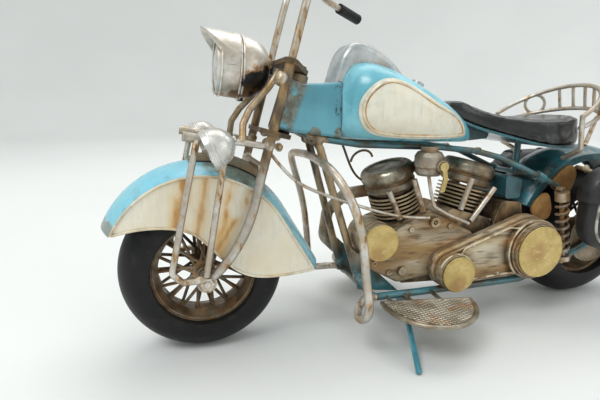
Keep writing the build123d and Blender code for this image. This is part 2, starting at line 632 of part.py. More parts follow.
exhaust = bar([(-22, 9, 71.5), (-33, 15, 69), (-41.5, 21.5, 58), (-42.5, 25, 42), (-33, 25.5, 32.5),
               (0, 25.5, 31), (56, 27, 30), (72, 33.4, 29.6)], 3.4, bend=6)
exhaust += bar([(38, 12, 79), (41, 22, 75), (52, 24.5, 56), (60, 28.5, 31)], 2.8, bend=4)
exhaust += bar([(70, 33.4, 29.6), (134, 33.4, 29.0)], 5.2)
parts["exhaust_pipe"] = exhaust - heads - barrels

CRASH_RADIUS = 2.0


def crash_bar():
    """One long bar: down from its arch in front of the frame to a hook beside each bottom rail."""
    half = [(-31.5, -24.0, 22.2), (-42.6, -29, 21.4), (-46.2, -38.2, 19.8), (-45.6, -45.2, 24.4),
            (-46.4, -46.2, 38), (-49.8, -46.4, 63), (-54.8, -44.4, 79.5), (-59.2, -35, 89.6),
            (-60.2, -20, 92.8)]
    arch = [(-59.6, 0, 93.6)]
    return bar(half + arch + [(px, -py, pz) for px, py, pz in reversed(half)], CRASH_RADIUS)


parts["crash_bar"] = crash_bar()

BOARD_X, BOARD_INNER = -7.0, -32.4           # middle of the straight inner edge
BOARD_HALF, BOARD_REACH, BOARD_TURN = 23.0, 27.6, -10.9
BOARD_Z, BOARD_THICK = 21.4, 1.2


def footboard():
    """D-shaped board with a rolled rim, on three short struts from the bottom rail."""
    round_side = EllipticalCenterArc((0, 0), BOARD_HALF, BOARD_REACH, 180, arc_size=180)
    outline = make_face(round_side.edges() + Line(round_side @ 1, round_side @ 0).edges())
    edge_z = BOARD_Z - BOARD_THICK / 2
    board = Pos(0, 0, BOARD_Z - BOARD_THICK) * extrude(outline, BOARD_THICK)
    rim_path = Pos(0, 0, edge_z) * Wire(round_side.edges())
    board += sweep(Plane(origin=rim_path @ 0, z_dir=rim_path % 0) * Circle(1.2), path=rim_path)
    board += rod((-BOARD_HALF, 0, edge_z), (BOARD_HALF, 0, edge_z), 1.2)
    board = Pos(BOARD_X, BOARD_INNER, 0) * Rot(0, 0, BOARD_TURN) * board
    slope = math.tan(math.radians(BOARD_TURN))
    for x in (-23.4, -13.0, 2.4):
        edge_y = BOARD_INNER + slope * (x - BOARD_X) - 1
        board += bar([(x, -RAIL_Y - 1, RAIL_Z), (x - 1.6, edge_y, edge_z)], 1.1)
    return board


parts["footboards"] = mirror_pair(footboard() - parts["main_frame"])

# ---------------------------------------------------------------- seat

def seat_plan():
    half = Spline((12, 0), (15, -5.6), (27, -8.2), (42, -13.5), (58, -22.5), (76, -25.0), (90, -20.5),
                  (96.5, -8.0), (97.5, 0))
    return make_face(half.edges() + mirror(half, about=Plane.XZ).edges())


def seat_side():
    top = Spline((12.5, 116.5), (17, 119.6), (24, 119.8), (36, 114.8), (50, 111), (66, 109.6), (84, 110.6),
                 (98, 111.6))
    base = Spline((12.5, 115.3), (22, 111.6), (34, 106.8), (47, 102.6), (62, 98.4), (80, 96.6), (98, 97.0))
    return make_face(top.edges() + base.edges() + Line(top @ 0, base @ 0).edges()
                     + Line(top @ 1, base @ 1).edges())


def seat_layer(side):
    plan = Pos(0, 0, 80) * extrude(seat_plan(), 60)
    return slab(side, -30, 30) & plan


def pan_side():
    upper = Spline((14, 114.6), (22, 111.3), (34, 106.5), (47, 102.3), (62, 98.1), (80, 96.3), (97, 96.7))
    lower = Spline((14, 113.2), (22, 109.9), (34, 105.1), (47, 100.9), (62, 96.7), (80, 94.9), (97, 95.3))
    return make_face(upper.edges() + lower.edges() + Line(upper @ 0, lower @ 0).edges()
                     + Line(upper @ 1, lower @ 1).edges())


parts["seat_cushion"] = seat_layer(seat_side()) - tank_body(0.4)

FENDER2_X, FENDER2_Z = 110.0, 40.0          # centre of the rear fender's arc
FENDER2_EDGE_R, FENDER2_HALF, FENDER2_RISE = 50.0, 15.4, 4.2
FENDER2_FRONT, FENDER2_BACK = 154.0, 22.0
TAIL_LAMP_TURN = 44.0                       # where the tail lamp sits on the fender's arc


def rear_fender():
    low = polar(FENDER2_X, FENDER2_Z, FENDER2_EDGE_R, FENDER2_BACK)
    top = polar(FENDER2_X, FENDER2_Z, FENDER2_EDGE_R, 80)
    front = polar(FENDER2_X, FENDER2_Z, FENDER2_EDGE_R, FENDER2_FRONT)
    path = Wire([ThreePointArc(to_3d(front), to_3d(top), to_3d(low)).edges()[0]])
    inner_r = FENDER2_EDGE_R - 3.6
    centre_x = FENDER2_X + 1.2
    outer = ThreePointArc(front, top, low)
    turns = (FENDER2_BACK, 80, FENDER2_FRONT)
    inner = ThreePointArc(*[polar(centre_x, FENDER2_Z, inner_r, turn) for turn in turns])
    skirt = make_face(outer.edges() + inner.edges() + Line(outer @ 1, inner @ 0).edges()
                      + Line(inner @ 1, outer @ 0).edges())
    skirts = slab(skirt, -FENDER2_HALF, -FENDER2_HALF + SHEET)
    return crown(path, FENDER2_HALF, FENDER2_RISE) + skirts + mirror(skirts, about=Plane.XZ)


parts["rear_fender"] = rear_fender()
pan = seat_layer(pan_side())
bracket_side = Polyline((27, 110), (46, 102.5), (44, 99.5), (31, 98.6), (28.5, 100), close=True)
nose_bracket = slab(bracket_side, -3.2, 3.2)
post = bar([(68.8, 0, 98), (68.6, 0, 79.5)], 1.8)
seat_pan = pan + (nose_bracket + post) - parts["seat_cushion"] - parts["rear_fender"]
parts["seat_pan"] = seat_pan - parts["main_frame"] - parts["fuel_tank"]
oil = slab(Polyline((49.5, 80.5), (60.5, 77.5), (59.8, 66.8), (50.2, 66.8), close=True), -15.4, 15.4)
head_room = on_cylinder(REAR_BASE, REAR_LEAN) * (Pos(0, 0, BARREL_LENGTH + 7) * Cylinder(15.0, 24))
oil = fillet(oil.edges().filter_by(Axis.Y), 2.0) - head_room
parts["oil_tank"] = oil - parts["main_frame"] - parts["seat_pan"]

# ---------------------------------------------------------------- rear end

RAIL_WIRE = 1.2


def half_ring(half_width, x_from, x_to, z_from, z_to):
    """Half an ellipse of rail: it starts and ends beside the seat and rises to the back."""
    run, rise = x_to - x_from, z_to - z_from
    reach = math.hypot(run, rise)
    plane = Plane(origin=(x_from, 0, z_from), x_dir=(0, 1, 0), z_dir=(rise / reach, 0, -run / reach))
    return plane * Wire(EllipticalCenterArc((0, 0), half_width, reach, 0, arc_size=180).edges())


def passenger_rail():
    """Two curved rails behind the seat, tied by rings and short braces, on two legs."""
    upper = half_ring(32.0, 79.0, 109.0, 112.0, 129.0)
    lower = half_ring(31.0, 79.0, 111.0, 106.0, 115.6)
    round_wire = [sweep(Plane(origin=p @ 0, z_dir=p % 0) * Circle(RAIL_WIRE), path=p)
                  for p in (upper, lower)]
    rail = round_wire[0] + round_wire[1]
    for place in (0.38, 0.46, 0.54, 0.62):
        rail += bar([upper @ place, lower @ place], 0.9)
    for place in (0.24, 0.76):
        a, b = upper @ place, lower @ place
        centre = (a + b) * 0.5
        along = (upper % place).normalized()
        ring_plane = Plane(origin=centre, x_dir=along, z_dir=along.cross((a - b).normalized()))
        radius = (a - b).length / 2
        ring_path = Wire((ring_plane * CenterArc((0, 0), radius, 0, 360)).edges())
        rail += sweep(Plane(origin=ring_path @ 0, z_dir=ring_path % 0) * Circle(0.9), path=ring_path)
    for side in (-1, 1):
        rail += bar([(79, side * 32, 112.8), (80, side * 31.6, 104), (82.5, side * 30.4, 94.5),
                     (86, side * 16.2, 88.5)], 1.3, bend=3)
        rail += bar([(96.0, side * 25.4, 111.2), (84.5, side * 30.6, 97.0)], 1.1)
    return rail


parts["passenger_rail"] = passenger_rail() - parts["rear_fender"]


BAG_INNER, BAG_OUTER = -28.2, -45.0


def left_saddlebag():
    """Soft-sided bag with a bulging front, hung from the fender on two bars."""
    side = Spline((92, 86.5), (84.6, 77), (81.6, 60), (84.4, 45.5), (93, 41.2), (128, 41.2), (137.4, 46),
                  (139.2, 62), (137, 79), (129, 86.5), periodic=True)
    bag = slab(make_face(side.edges()), BAG_OUTER, BAG_INNER)
    bag = fillet(bag.edges().group_by(Axis.Y)[0], 4.0)
    for hanger_x in (98, 126):
        bag += across(hanger_x, BAG_INNER - 1, -FENDER2_HALF, 82.5, 1.4)
    return bag - parts["rear_fender"]


bag_solid = left_saddlebag()
parts["left_saddlebag"] = bag_solid
parts["right_saddlebag"] = mirror(bag_solid, about=Plane.XZ)

COIL_RADIUS, COIL_WIRE, COIL_TURNS = 3.0, 0.8, 7


def shock_frame(side):
    top = Vector(SHOCK_TOP[0], side * -SHOCK_TOP[1], SHOCK_TOP[2])
    foot = Vector(SHOCK_FOOT[0], side * -SHOCK_FOOT[1], SHOCK_FOOT[2])
    return Plane(origin=foot, z_dir=(top - foot)), (top - foot).length


def coil(side):
    plane, length = shock_frame(side)
    height = length - 8.8
    helix = Helix(pitch=height / COIL_TURNS, height=height, radius=COIL_RADIUS)
    wire = sweep(Plane(origin=helix @ 0, z_dir=helix % 0) * Circle(COIL_WIRE), path=helix, is_frenet=True)
    return plane * (Pos(0, 0, 3.4) * wire)


def shock(side):
    """Rod, top cup, foot and the leaf-shaped cover plates of one rear spring."""
    plane, length = shock_frame(side)
    unit = plane * (Cylinder(1.5, length, align=(Align.CENTER, Align.CENTER, Align.MIN))
                    + Pos(0, 0, length - 2) * Cylinder(3.9, 5.0) + Pos(0, 0, 1) * Cylinder(3.6, 2.8))
    y = side * -SHOCK_TOP[1]
    unit += across(SHOCK_TOP[0] + 0.6, side * (STAY_Y + 1), y, 71.6, 1.6)
    unit += across(SHOCK_FOOT[0], side * (STAY_Y + 1.4), y, SHOCK_FOOT[2] - 1.0, 1.6)
    return unit


rear_plate = Spline((79, 74.4), (84, 80), (93, 83.6), (95.6, 80.6), (94.2, 72), (89.6, 65.6), (84, 69),
                    periodic=True)
fore_plate = Spline((65.2, 60.4), (69.4, 67.2), (74.6, 69.4), (77.6, 65), (77.4, 55.6), (70, 54.4),
                    periodic=True)
parts["rear_springs"] = group([coil(-1), coil(1)])
parts["shock_rods"] = group([shock(-1) - parts["main_frame"], shock(1) - parts["main_frame"]])
cover_pair = [slab(make_face(rear_plate.edges()), -17.4, -16.0),
              slab(make_face(fore_plate.edges()), -19.6, -18.2)]
parts["spring_covers"] = group([solid - parts["main_frame"] - parts["shock_rods"]
                                for solid in cover_pair + [mirror(s, about=Plane.XZ) for s in cover_pair]])

lamp_spot = polar(FENDER2_X, FENDER2_Z, FENDER2_EDGE_R + FENDER2_RISE - 0.4, TAIL_LAMP_TURN)
lamp_place = Pos(*to_3d(lamp_spot)) * Rot(0, 90, 0)
lamp_body = lamp_place * (Pos(0, 0, 2.6) * Cylinder(4.6, 7.0)) - parts["rear_fender"]
parts["tail_lamp"] = lamp_body.solids().sort_by(SortBy.VOLUME)[-1]
parts["tail_lamp_glass"] = lamp_place * (Pos(0, 0, 6.7) * Cylinder(4.0, 1.1))

parts["front_axle"] = front_axle - legs
os.makedirs("parts", exist_ok=True)
for node, shape in parts.items():
    export_step(shape, f"parts/{node}.step")
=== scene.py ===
import math

import bmesh
import bpy
from mathutils import Matrix, Vector


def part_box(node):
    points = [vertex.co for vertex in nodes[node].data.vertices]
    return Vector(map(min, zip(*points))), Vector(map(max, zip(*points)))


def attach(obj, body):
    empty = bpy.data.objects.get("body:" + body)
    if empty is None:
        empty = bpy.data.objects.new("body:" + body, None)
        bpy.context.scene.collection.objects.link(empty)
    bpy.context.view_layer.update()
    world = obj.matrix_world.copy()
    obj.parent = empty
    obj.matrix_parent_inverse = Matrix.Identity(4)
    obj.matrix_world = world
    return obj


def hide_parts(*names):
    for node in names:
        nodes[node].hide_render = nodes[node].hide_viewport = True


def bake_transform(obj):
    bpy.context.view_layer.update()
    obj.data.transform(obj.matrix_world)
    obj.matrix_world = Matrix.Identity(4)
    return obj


# Tin display motorcycle. The front wheel points to -X, the bike's left side to -Y, z = 0 is the ground.
# Every length is in metres, and MM turns millimetres into metres.

MM = 0.001

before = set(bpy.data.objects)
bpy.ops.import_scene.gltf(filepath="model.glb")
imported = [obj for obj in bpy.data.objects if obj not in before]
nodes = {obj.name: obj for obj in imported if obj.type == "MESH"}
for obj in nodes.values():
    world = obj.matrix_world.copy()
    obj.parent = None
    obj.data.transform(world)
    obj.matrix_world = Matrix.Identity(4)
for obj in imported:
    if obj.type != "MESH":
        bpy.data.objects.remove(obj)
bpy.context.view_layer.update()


# ---------------------------------------------------------------- material kit

class Finish:
    """One node material, built a socket at a time. Patterns are laid out in metres on the object."""

    def __init__(self, name):
        self.material = bpy.data.materials.new(name)
        self.material.use_nodes = True
        self.tree = self.material.node_tree
        self.surface = self.tree.nodes["Principled BSDF"]
        self.place = self.tree.nodes.new("ShaderNodeTexCoord").outputs["Object"]

    def feed(self, socket, value):
        if isinstance(value, bpy.types.NodeSocket):
            self.tree.links.new(value, socket)
        elif socket.type == "RGBA":
            socket.default_value = (*value, 1.0)
        else:
            socket.default_value = value

    def noise(self, size, detail=3.0, stretch=(1, 1, 1), shift=0.0, lean=0.0):
        """Soft noise around 0.5, with patches about `size` metres across, leaning about Y by `lean` degrees."""
        mapping = self.tree.nodes.new("ShaderNodeMapping")
        mapping.inputs["Rotation"].default_value = (0, math.radians(lean), 0)
        mapping.inputs["Scale"].default_value = [1 / (size * along) for along in stretch]
        mapping.inputs["Location"].default_value = (shift, shift, shift)
        self.feed(mapping.inputs["Vector"], self.place)
        texture = self.tree.nodes.new("ShaderNodeTexNoise")
        texture.inputs["Scale"].default_value = 1.0
        texture.inputs["Detail"].default_value = detail
        self.feed(texture.inputs["Vector"], mapping.outputs["Vector"])
        return texture.outputs["Fac"]

    def band(self, value, low, high, top=1.0):
        """0 at low, `top` at high, smooth between."""
        ramp = self.tree.nodes.new("ShaderNodeMapRange")
        ramp.interpolation_type = "SMOOTHSTEP"
        self.feed(ramp.inputs["Value"], value)
        ramp.inputs["From Min"].default_value = low
        ramp.inputs["From Max"].default_value = high
        ramp.inputs["To Max"].default_value = top
        return ramp.outputs["Result"]

    def math(self, operation, first, second=0.0):
        node = self.tree.nodes.new("ShaderNodeMath")
        node.operation = operation
        self.feed(node.inputs[0], first)
        self.feed(node.inputs[1], second)
        return node.outputs[0]

    def both(self, first, second):
        return self.math("MULTIPLY", first, second)

    def either(self, first, second):
        return self.math("MAXIMUM", first, second)

    def mix(self, amount, first, second):
        node = self.tree.nodes.new("ShaderNodeMix")
        node.data_type = "RGBA"
        self.feed(node.inputs["Factor"], amount)
        self.feed(node.inputs["A"], first)
        self.feed(node.inputs["B"], second)
        return node.outputs["Result"]

    def blend(self, amount, first, second):
        """Plain numbers mixed the way colours are."""
        ramp = self.tree.nodes.new("ShaderNodeMapRange")
        self.feed(ramp.inputs["Value"], amount)
        ramp.inputs["To Min"].default_value = first
        ramp.inputs["To Max"].default_value = second
        return ramp.outputs["Result"]

    def hidden(self, distance, inside=False):
        """1 in corners, or, with inside, on outer edges: used for dirt in corners and paint rubbed off edges, and also
        for painted shade in crevices and painted highlights on edges.
        """
        node = self.tree.nodes.new("ShaderNodeAmbientOcclusion")
        node.samples = 4
        node.inside = inside
        node.inputs["Distance"].default_value = distance
        return self.math("SUBTRACT", 1.0, node.outputs["AO"])

    def away(self, point, normal=None):
        """Distance from a point, or from the plane through it."""
        offset = self.tree.nodes.new("ShaderNodeVectorMath")
        offset.operation = "SUBTRACT"
        self.feed(offset.inputs[0], self.place)
        offset.inputs[1].default_value = point
        measure = self.tree.nodes.new("ShaderNodeVectorMath")
        self.feed(measure.inputs[0], offset.outputs["Vector"])
        if normal is None:
            measure.operation = "LENGTH"
            return measure.outputs["Value"]
        measure.operation = "DOT_PRODUCT"
        measure.inputs[1].default_value = normal
        return self.math("ABSOLUTE", measure.outputs["Value"])

    def height(self):
        split = self.tree.nodes.new("ShaderNodeSeparateXYZ")
        self.feed(split.inputs[0], self.place)
        return split.outputs["Z"]

    def facing_up(self):
        split = self.tree.nodes.new("ShaderNodeSeparateXYZ")
        self.feed(split.inputs[0], self.tree.nodes.new("ShaderNodeNewGeometry").outputs["Normal"])
        return split.outputs["Z"]

    def close(self, colour, roughness, metal=0.0, bumps=(), round_edges=0.0, coat=0.0, shine=0.5):
        """Feeds the surface. bumps is a list of (height socket, height in metres)."""
        self.surface.inputs["Specular IOR Level"].default_value = shine
        self.feed(self.surface.inputs["Base Color"], colour)
        self.feed(self.surface.inputs["Roughness"], roughness)
        self.feed(self.surface.inputs["Metallic"], metal)
        self.surface.inputs["Coat Weight"].default_value = coat
        self.surface.inputs["Coat Roughness"].default_value = 0.15
        normal = None
        if round_edges:
            bevel = self.tree.nodes.new("ShaderNodeBevel")
            bevel.samples = 4
            bevel.inputs["Radius"].default_value = round_edges
            normal = bevel.outputs["Normal"]
        for height, depth in bumps:
            bump = self.tree.nodes.new("ShaderNodeBump")
            bump.inputs["Distance"].default_value = depth
            self.feed(bump.inputs["Height"], height)
            if normal:
                self.feed(bump.inputs["Normal"], normal)
            normal = bump.outputs["Normal"]
        if normal:
            self.feed(self.surface.inputs["Normal"], normal)
        return self.material


RUST_LIGHT = (0.50, 0.25, 0.075)
RUST = (0.27, 0.13, 0.042)
RUST_DARK = (0.060, 0.032, 0.014)
GRIME = (0.085, 0.060, 0.040)
# Near black: soot on the headlamp's burnt patch, and painted shade in the crevices of old metal.
SHADE_AND_SOOT = (0.010, 0.009, 0.008)
BLUE = (0.135, 0.43, 0.53)
BLUE_LIGHT = (0.24, 0.60, 0.71)
CREAM = (0.78, 0.75, 0.64)
CREAM_WARM = (0.72, 0.62, 0.43)
GRAIN = (5, 1, 1)             # wiping marks run along X


def enamel(name, main, second, chipped=0.5, grimy=0.7, worn=0.3, stains=None, patch=26):
    """Hand-brushed enamel on tin: uneven tone, chips down to dark metal, rubbed edges, rust in the corners."""
    f = Finish(name)
    tone = f.noise(patch * MM, 4)
    colour = f.mix(f.band(tone, 0.40, 0.60), main, second)
    brushed = f.noise(2.2 * MM, 4, (1, 1, 9), 3.0)
    colour = f.mix(f.band(brushed, 0.45, 0.80, 0.22), colour, tuple(0.55 * c for c in main))
    corner = f.hidden(3.5 * MM)
    dirt = f.both(f.band(corner, 0.30, 0.75), f.band(f.noise(6 * MM, 5, shift=5.0), 0.34, 0.62, grimy))
    colour = f.mix(dirt, colour, RUST)
    deep = f.band(f.hidden(1.6 * MM), 0.55, 0.9, grimy)
    colour = f.mix(deep, colour, RUST_DARK)
    if stains:
        colour = stains(f, colour)
    scratch = f.band(f.noise(1.5 * MM, 6, (1.0, 1.0, 3.2), 9.0), 0.70, 0.75)
    speck = f.band(f.noise(0.9 * MM, 2, shift=14.0), 0.745, 0.775)
    where = f.band(f.noise(17 * MM, 2, shift=21.0), 0.47, 0.66, chipped)
    chips = f.both(f.either(scratch, speck), where)
    rubbed = f.both(f.band(f.hidden(1.1 * MM, True), 0.42, 0.72), f.band(f.noise(5 * MM, 5, shift=2.0), 0.44, 0.62, worn))
    bare = f.either(chips, rubbed)
    metal = f.mix(f.band(f.noise(3 * MM, 3, shift=7.0), 0.4, 0.6), GRIME, (0.32, 0.28, 0.23))
    colour = f.mix(bare, colour, metal)
    rough = f.math("ADD", f.band(tone, 0.3, 0.7, 0.12), f.math("ADD", f.both(dirt, 0.3), 0.22))
    drips = f.noise(1.2 * MM, 3, shift=30.0)
    return f.close(colour, rough, 0.0, [(drips, 0.05 * MM), (bare, -0.12 * MM)], 0.35 * MM, 0.25)


def old_metal(name, bright, dark, brown=0.6, rusty=0.4, rough=0.34, pitted=0.06, edge=0.35, stretch=(1, 1, 1),
              lean=0.0, stains=None, painted_highlight_gain=1.35, painted_hollow_shade=0.0):
    """Silvered metal under a brown glaze that was wiped off the high places. Crevices and wide recesses get painted
    shade, outer edges a painted highlight; the last two arguments set the painted highlight's strength and how black
    the painted shade in wide recesses is.
    """
    f = Finish(name)
    tone = f.noise(9 * MM, 4, stretch, lean=lean)
    colour = f.mix(f.band(tone, 0.34, 0.66), bright, dark)
    corner = f.hidden(6 * MM)
    wash = f.band(f.noise(11 * MM, 3, stretch, 4.0, lean), 0.38, 0.66, 0.55)
    streak = f.band(f.noise(2.6 * MM, 5, stretch, 5.0, lean), 0.48, 0.70, 0.45)
    glaze = f.math("ADD", f.band(corner, 0.08, 0.50), f.math("ADD", wash, streak))
    glaze = f.math("MINIMUM", f.both(glaze, brown), 0.92)
    glaze_colour = f.mix(f.band(f.noise(6 * MM, 4, stretch, 8.0, lean), 0.38, 0.62), (0.10, 0.062, 0.030), RUST)
    colour = f.mix(glaze, colour, glaze_colour)
    rust = f.both(f.band(f.noise(10 * MM, 5, stretch, 12.0, lean), 0.48, 0.66, rusty), f.band(corner, 0.04, 0.40))
    colour = f.mix(rust, colour, RUST_LIGHT)
    # Painted shade: near black in crevices within 4 mm.
    deep = f.band(f.hidden(4.0 * MM), 0.36, 0.76, 0.95)
    colour = f.mix(deep, colour, SHADE_AND_SOOT)
    # Painted shade: near black deep in wide recesses.
    if painted_hollow_shade:
        colour = f.mix(f.band(f.hidden(16 * MM), 0.36, 0.80, painted_hollow_shade), colour, (0.022, 0.015, 0.009))
    if stains:
        colour = stains(f, colour)
    # Painted highlight: outer edges lighter than the bright metal.
    high = f.both(f.band(f.hidden(1.0 * MM, True), 0.30, 0.62), f.band(f.noise(4 * MM, 4, shift=16.0), 0.36, 0.56, 0.8))
    colour = f.mix(high, colour, tuple(min(1.0, c * painted_highlight_gain) for c in bright))
    dull = f.math("MAXIMUM", glaze, rust)
    roughness = f.math("ADD", f.both(dull, 0.32), f.band(tone, 0.3, 0.7, 0.12))
    roughness = f.math("ADD", roughness, rough)
    metal = f.blend(dull, 0.65, 0.15)
    pits = f.noise(1.0 * MM, 6, stretch, 19.0, lean)
    return f.close(colour, roughness, metal, [(pits, pitted * MM)], edge * MM)


# Stains and painted shade that sit in one place on one piece

def beside_rods(f, colour):
    """Rust that has run down the fender's side next to the struts and the fork leg."""
    ragged = f.both(f.math("SUBTRACT", f.noise(5 * MM, 3, (1, 1, 3), 40.0), 0.5), 5 * MM)
    soft = f.noise(8 * MM, 4, (1, 1, 2), 42.0)
    rods = (((-122.2, 87), (-4.6, -21), 6.0, 0.95), ((-112.8, 86), (-3.8, -18), 4.8, 0.75),
            ((-101.4, 84), (-3.6, -16), 5.4, 1.0), ((-104.8, 60), (-6.4, -10), 4.8, 1.0))
    for (x, z), (lean_x, lean_z), reach, strong in rods:
        across = Vector((-lean_z, 0, lean_x)).normalized()
        wobble = f.math("ADD", f.away((x * MM, 0, z * MM), across), ragged)
        halo = f.both(f.band(wobble, reach * MM, 0.0, strong), f.band(soft, 0.30, 0.54))
        colour = f.mix(halo, colour, (0.72, 0.47, 0.17))
        core = f.both(f.band(wobble, 0.42 * reach * MM, 0.0, 0.9 * strong), f.band(soft, 0.36, 0.56))
        colour = f.mix(core, colour, (0.46, 0.21, 0.055))
    low = f.both(f.band(f.height(), 66 * MM, 42 * MM), f.band(f.noise(16 * MM, 3, shift=50.0), 0.42, 0.62, 0.4))
    return f.mix(low, colour, CREAM_WARM)


def bronze_downtubes(f, colour):
    """The front downtubes are rubbed down to brown metal, and undersides get painted shade."""
    colour = shade_below(f, colour)
    rub = f.noise(5 * MM, 5, (1, 1, 3), 90.0)
    bronze = f.mix(f.band(rub, 0.40, 0.62), (0.085, 0.055, 0.028), (0.36, 0.25, 0.13))
    line = f.math("ADD", f.away((-47 * MM, 0, 64 * MM), (0.961, 0, 0.276)), f.both(f.math("SUBTRACT", rub, 0.5), 3 * MM))
    return f.mix(f.both(f.band(line, 5.5 * MM, 4.0 * MM), f.band(f.height(), 34 * MM, 46 * MM)), colour, bronze)


def neck_wear(f, colour):
    """Grey-green patches rubbed through at the neck's front edge and its lower corners, dark chips at the back."""
    rub = f.noise(6 * MM, 5, (1, 1, 1.6), 60.0)
    front = f.both(f.band(f.away((-77 * MM, 0, 107 * MM), (0.93, 0, -0.36)), 6.5 * MM, 3.0 * MM),
                   f.band(rub, 0.36, 0.46, 0.95))
    corners = 0.0
    for x, z in ((-61, 104), (-47, 104)):
        spot = f.math("ADD", f.away((x * MM, -11.5 * MM, z * MM)), f.both(f.math("SUBTRACT", rub, 0.5), 12 * MM))
        corners = f.either(f.band(spot, 4.6 * MM, 3.4 * MM, 0.9), corners)
    patch = f.mix(f.band(f.noise(2.5 * MM, 3, shift=63.0), 0.4, 0.6), (0.19, 0.21, 0.17), (0.115, 0.10, 0.065))
    colour = f.mix(front, colour, patch)
    colour = f.mix(corners, colour, patch)
    seam = f.both(f.band(f.away((-48 * MM, 0, 0), (1, 0, 0)), 2.6 * MM, 0.8 * MM),
                  f.band(f.noise(1.6 * MM, 5, (1, 1, 2), 66.0), 0.56, 0.60))
    return f.mix(seam, colour, (0.02, 0.022, 0.022))


def lamp_burn(f, colour):
    """The burnt black patch along the headlamp's lower back, golden rust flecks over it, a brown blob at the seam."""
    ragged = f.both(f.math("SUBTRACT", f.noise(2.4 * MM, 7, shift=70.0), 0.5), 7 * MM)
    below = f.math("ADD", f.away((-88 * MM, 0, 118.5 * MM), (-0.30, 0, 0.95)), ragged)
    behind = f.band(f.away((-76 * MM, 0, 128 * MM), (1, 0, 0)), 20.2 * MM, 18.6 * MM)
    fleck = f.band(f.noise(1.3 * MM, 5, shift=73.0), 0.50, 0.60)
    rust = f.both(f.both(behind, f.band(below, 20.5 * MM, 14.0 * MM, 0.9)), fleck)
    colour = f.mix(rust, colour, RUST_LIGHT)
    edge = f.both(behind, f.band(below, 16.2 * MM, 14.2 * MM, 0.9))
    colour = f.mix(edge, colour, RUST)
    colour = f.mix(f.both(behind, f.band(below, 14.6 * MM, 13.6 * MM)), colour, SHADE_AND_SOOT)
    low = f.both(f.band(f.height(), 129 * MM, 122 * MM), f.band(f.noise(4 * MM, 4, shift=77.0), 0.42, 0.58, 0.85))
    colour = f.mix(low, colour, RUST)
    seam = f.math("ADD", f.away((-95.5 * MM, -6 * MM, 123.0 * MM)), f.both(ragged, 0.5))
    return f.mix(f.band(seam, 5.5 * MM, 3.8 * MM, 0.9), colour, (0.17, 0.075, 0.022))


def crown_rub(f, colour):
    """The fender crown is rubbed green-brown under the leaf strap and bare grey at its tip."""
    rub = f.noise(5 * MM, 5, shift=80.0)
    wobble = f.both(f.math("SUBTRACT", rub, 0.5), 16 * MM)
    strap = f.math("ADD", f.away((-95 * MM, 0, 92 * MM)), wobble)
    olive = f.mix(f.band(rub, 0.4, 0.6), (0.13, 0.13, 0.085), (0.20, 0.21, 0.15))
    colour = f.mix(f.band(strap, 24 * MM, 17 * MM, 0.85), colour, olive)
    tip = f.math("ADD", f.away((-156 * MM, 0, 62 * MM), (0.42, 0, 0.90)), f.both(wobble, 0.25))
    return f.mix(f.band(tip, 7.0 * MM, 5.8 * MM, 0.9), colour, (0.25, 0.255, 0.22))


def rod_rust_and_shade(f, colour):
    """Golden rust in soft flecks along the rods, dark in the middle of the worst ones, and painted shade in dull brown
    on the rods' sides, where they turn away from the view.
    """
    fleck = f.noise(3.0 * MM, 6, (1, 1, 2.2), 100.0, 12)
    where = f.band(f.noise(13 * MM, 3, shift=104.0), 0.40, 0.60)
    painted_flank_shade = f.tree.nodes.new("ShaderNodeLayerWeight").outputs["Facing"]
    # Painted shade: brown on the rods' sides that turn away from the view.
    colour = f.mix(f.band(painted_flank_shade, 0.25, 0.85, 0.62), colour, (0.16, 0.105, 0.055))
    colour = f.mix(f.both(f.band(fleck, 0.46, 0.62, 0.75), where), colour, (0.50, 0.28, 0.09))
    return f.mix(f.both(f.band(fleck, 0.57, 0.66, 0.85), where), colour, (0.12, 0.062, 0.024))


def bronze_above(f, colour):
    """The fork's upper legs were left dark golden brown, the lower ones are silver."""
    colour = rod_rust_and_shade(f, colour)
    rub = f.noise(4 * MM, 5, (1, 1, 3), 110.0)
    golden = f.mix(f.band(rub, 0.40, 0.62), (0.075, 0.046, 0.020), (0.30, 0.185, 0.070))
    top = f.math("ADD", f.height(), f.both(f.math("SUBTRACT", rub, 0.5), 14 * MM))
    return f.mix(f.band(top, 84 * MM, 96 * MM, 0.88), colour, golden)


def cover_streaks(f, colour):
    """Thin dark scratches along the wiping marks, thick grime at the bottom edge."""
    line = f.noise(2.0 * MM, 6, (6, 1, 1), 130.0, 28)
    colour = f.mix(f.band(line, 0.53, 0.66, 0.62), colour, (0.085, 0.052, 0.024))
    pale = f.noise(2.6 * MM, 6, (6, 1, 1), 134.0, 28)
    colour = f.mix(f.band(pale, 0.56, 0.70, 0.45), colour, (0.66, 0.60, 0.48))
    ragged = f.math("ADD", f.height(), f.both(f.math("SUBTRACT", f.noise(5 * MM, 5, shift=137.0), 0.5), 16 * MM))
    return f.mix(f.band(ragged, 29 * MM, 20 * MM, 0.75), colour, (0.040, 0.026, 0.014))


def oily(f, colour):
    """Soot and old oil that ran down from the engine's top."""
    film = f.noise(9 * MM, 5, (1, 1, 1.8), 120.0)
    colour = f.mix(f.band(film, 0.42, 0.62, 0.72), colour, (0.030, 0.022, 0.014))
    warm = f.noise(4 * MM, 5, shift=124.0)
    return f.mix(f.band(warm, 0.54, 0.68, 0.55), colour, (0.34, 0.235, 0.120))


def barrel_rub_and_gap_shade(f, colour):
    """Fin edges keep a warm cream-brown rub; the gaps between them get painted shade, nearly black."""
    # Painted shade: nearly black between the fins.
    gap = f.band(f.hidden(2.6 * MM), 0.30, 0.62)
    colour = f.mix(gap, colour, (0.014, 0.011, 0.008))
    rim = f.band(f.hidden(0.9 * MM, True), 0.26, 0.55, 0.8)
    return f.mix(rim, colour, (0.56, 0.45, 0.30))


def shade_below(f, colour):
    """Painted shade: the teal paint is darkened on its undersides."""
    under = f.band(f.facing_up(), 0.5, -0.4, 0.65)
    return f.mix(under, colour, (0.018, 0.055, 0.062))


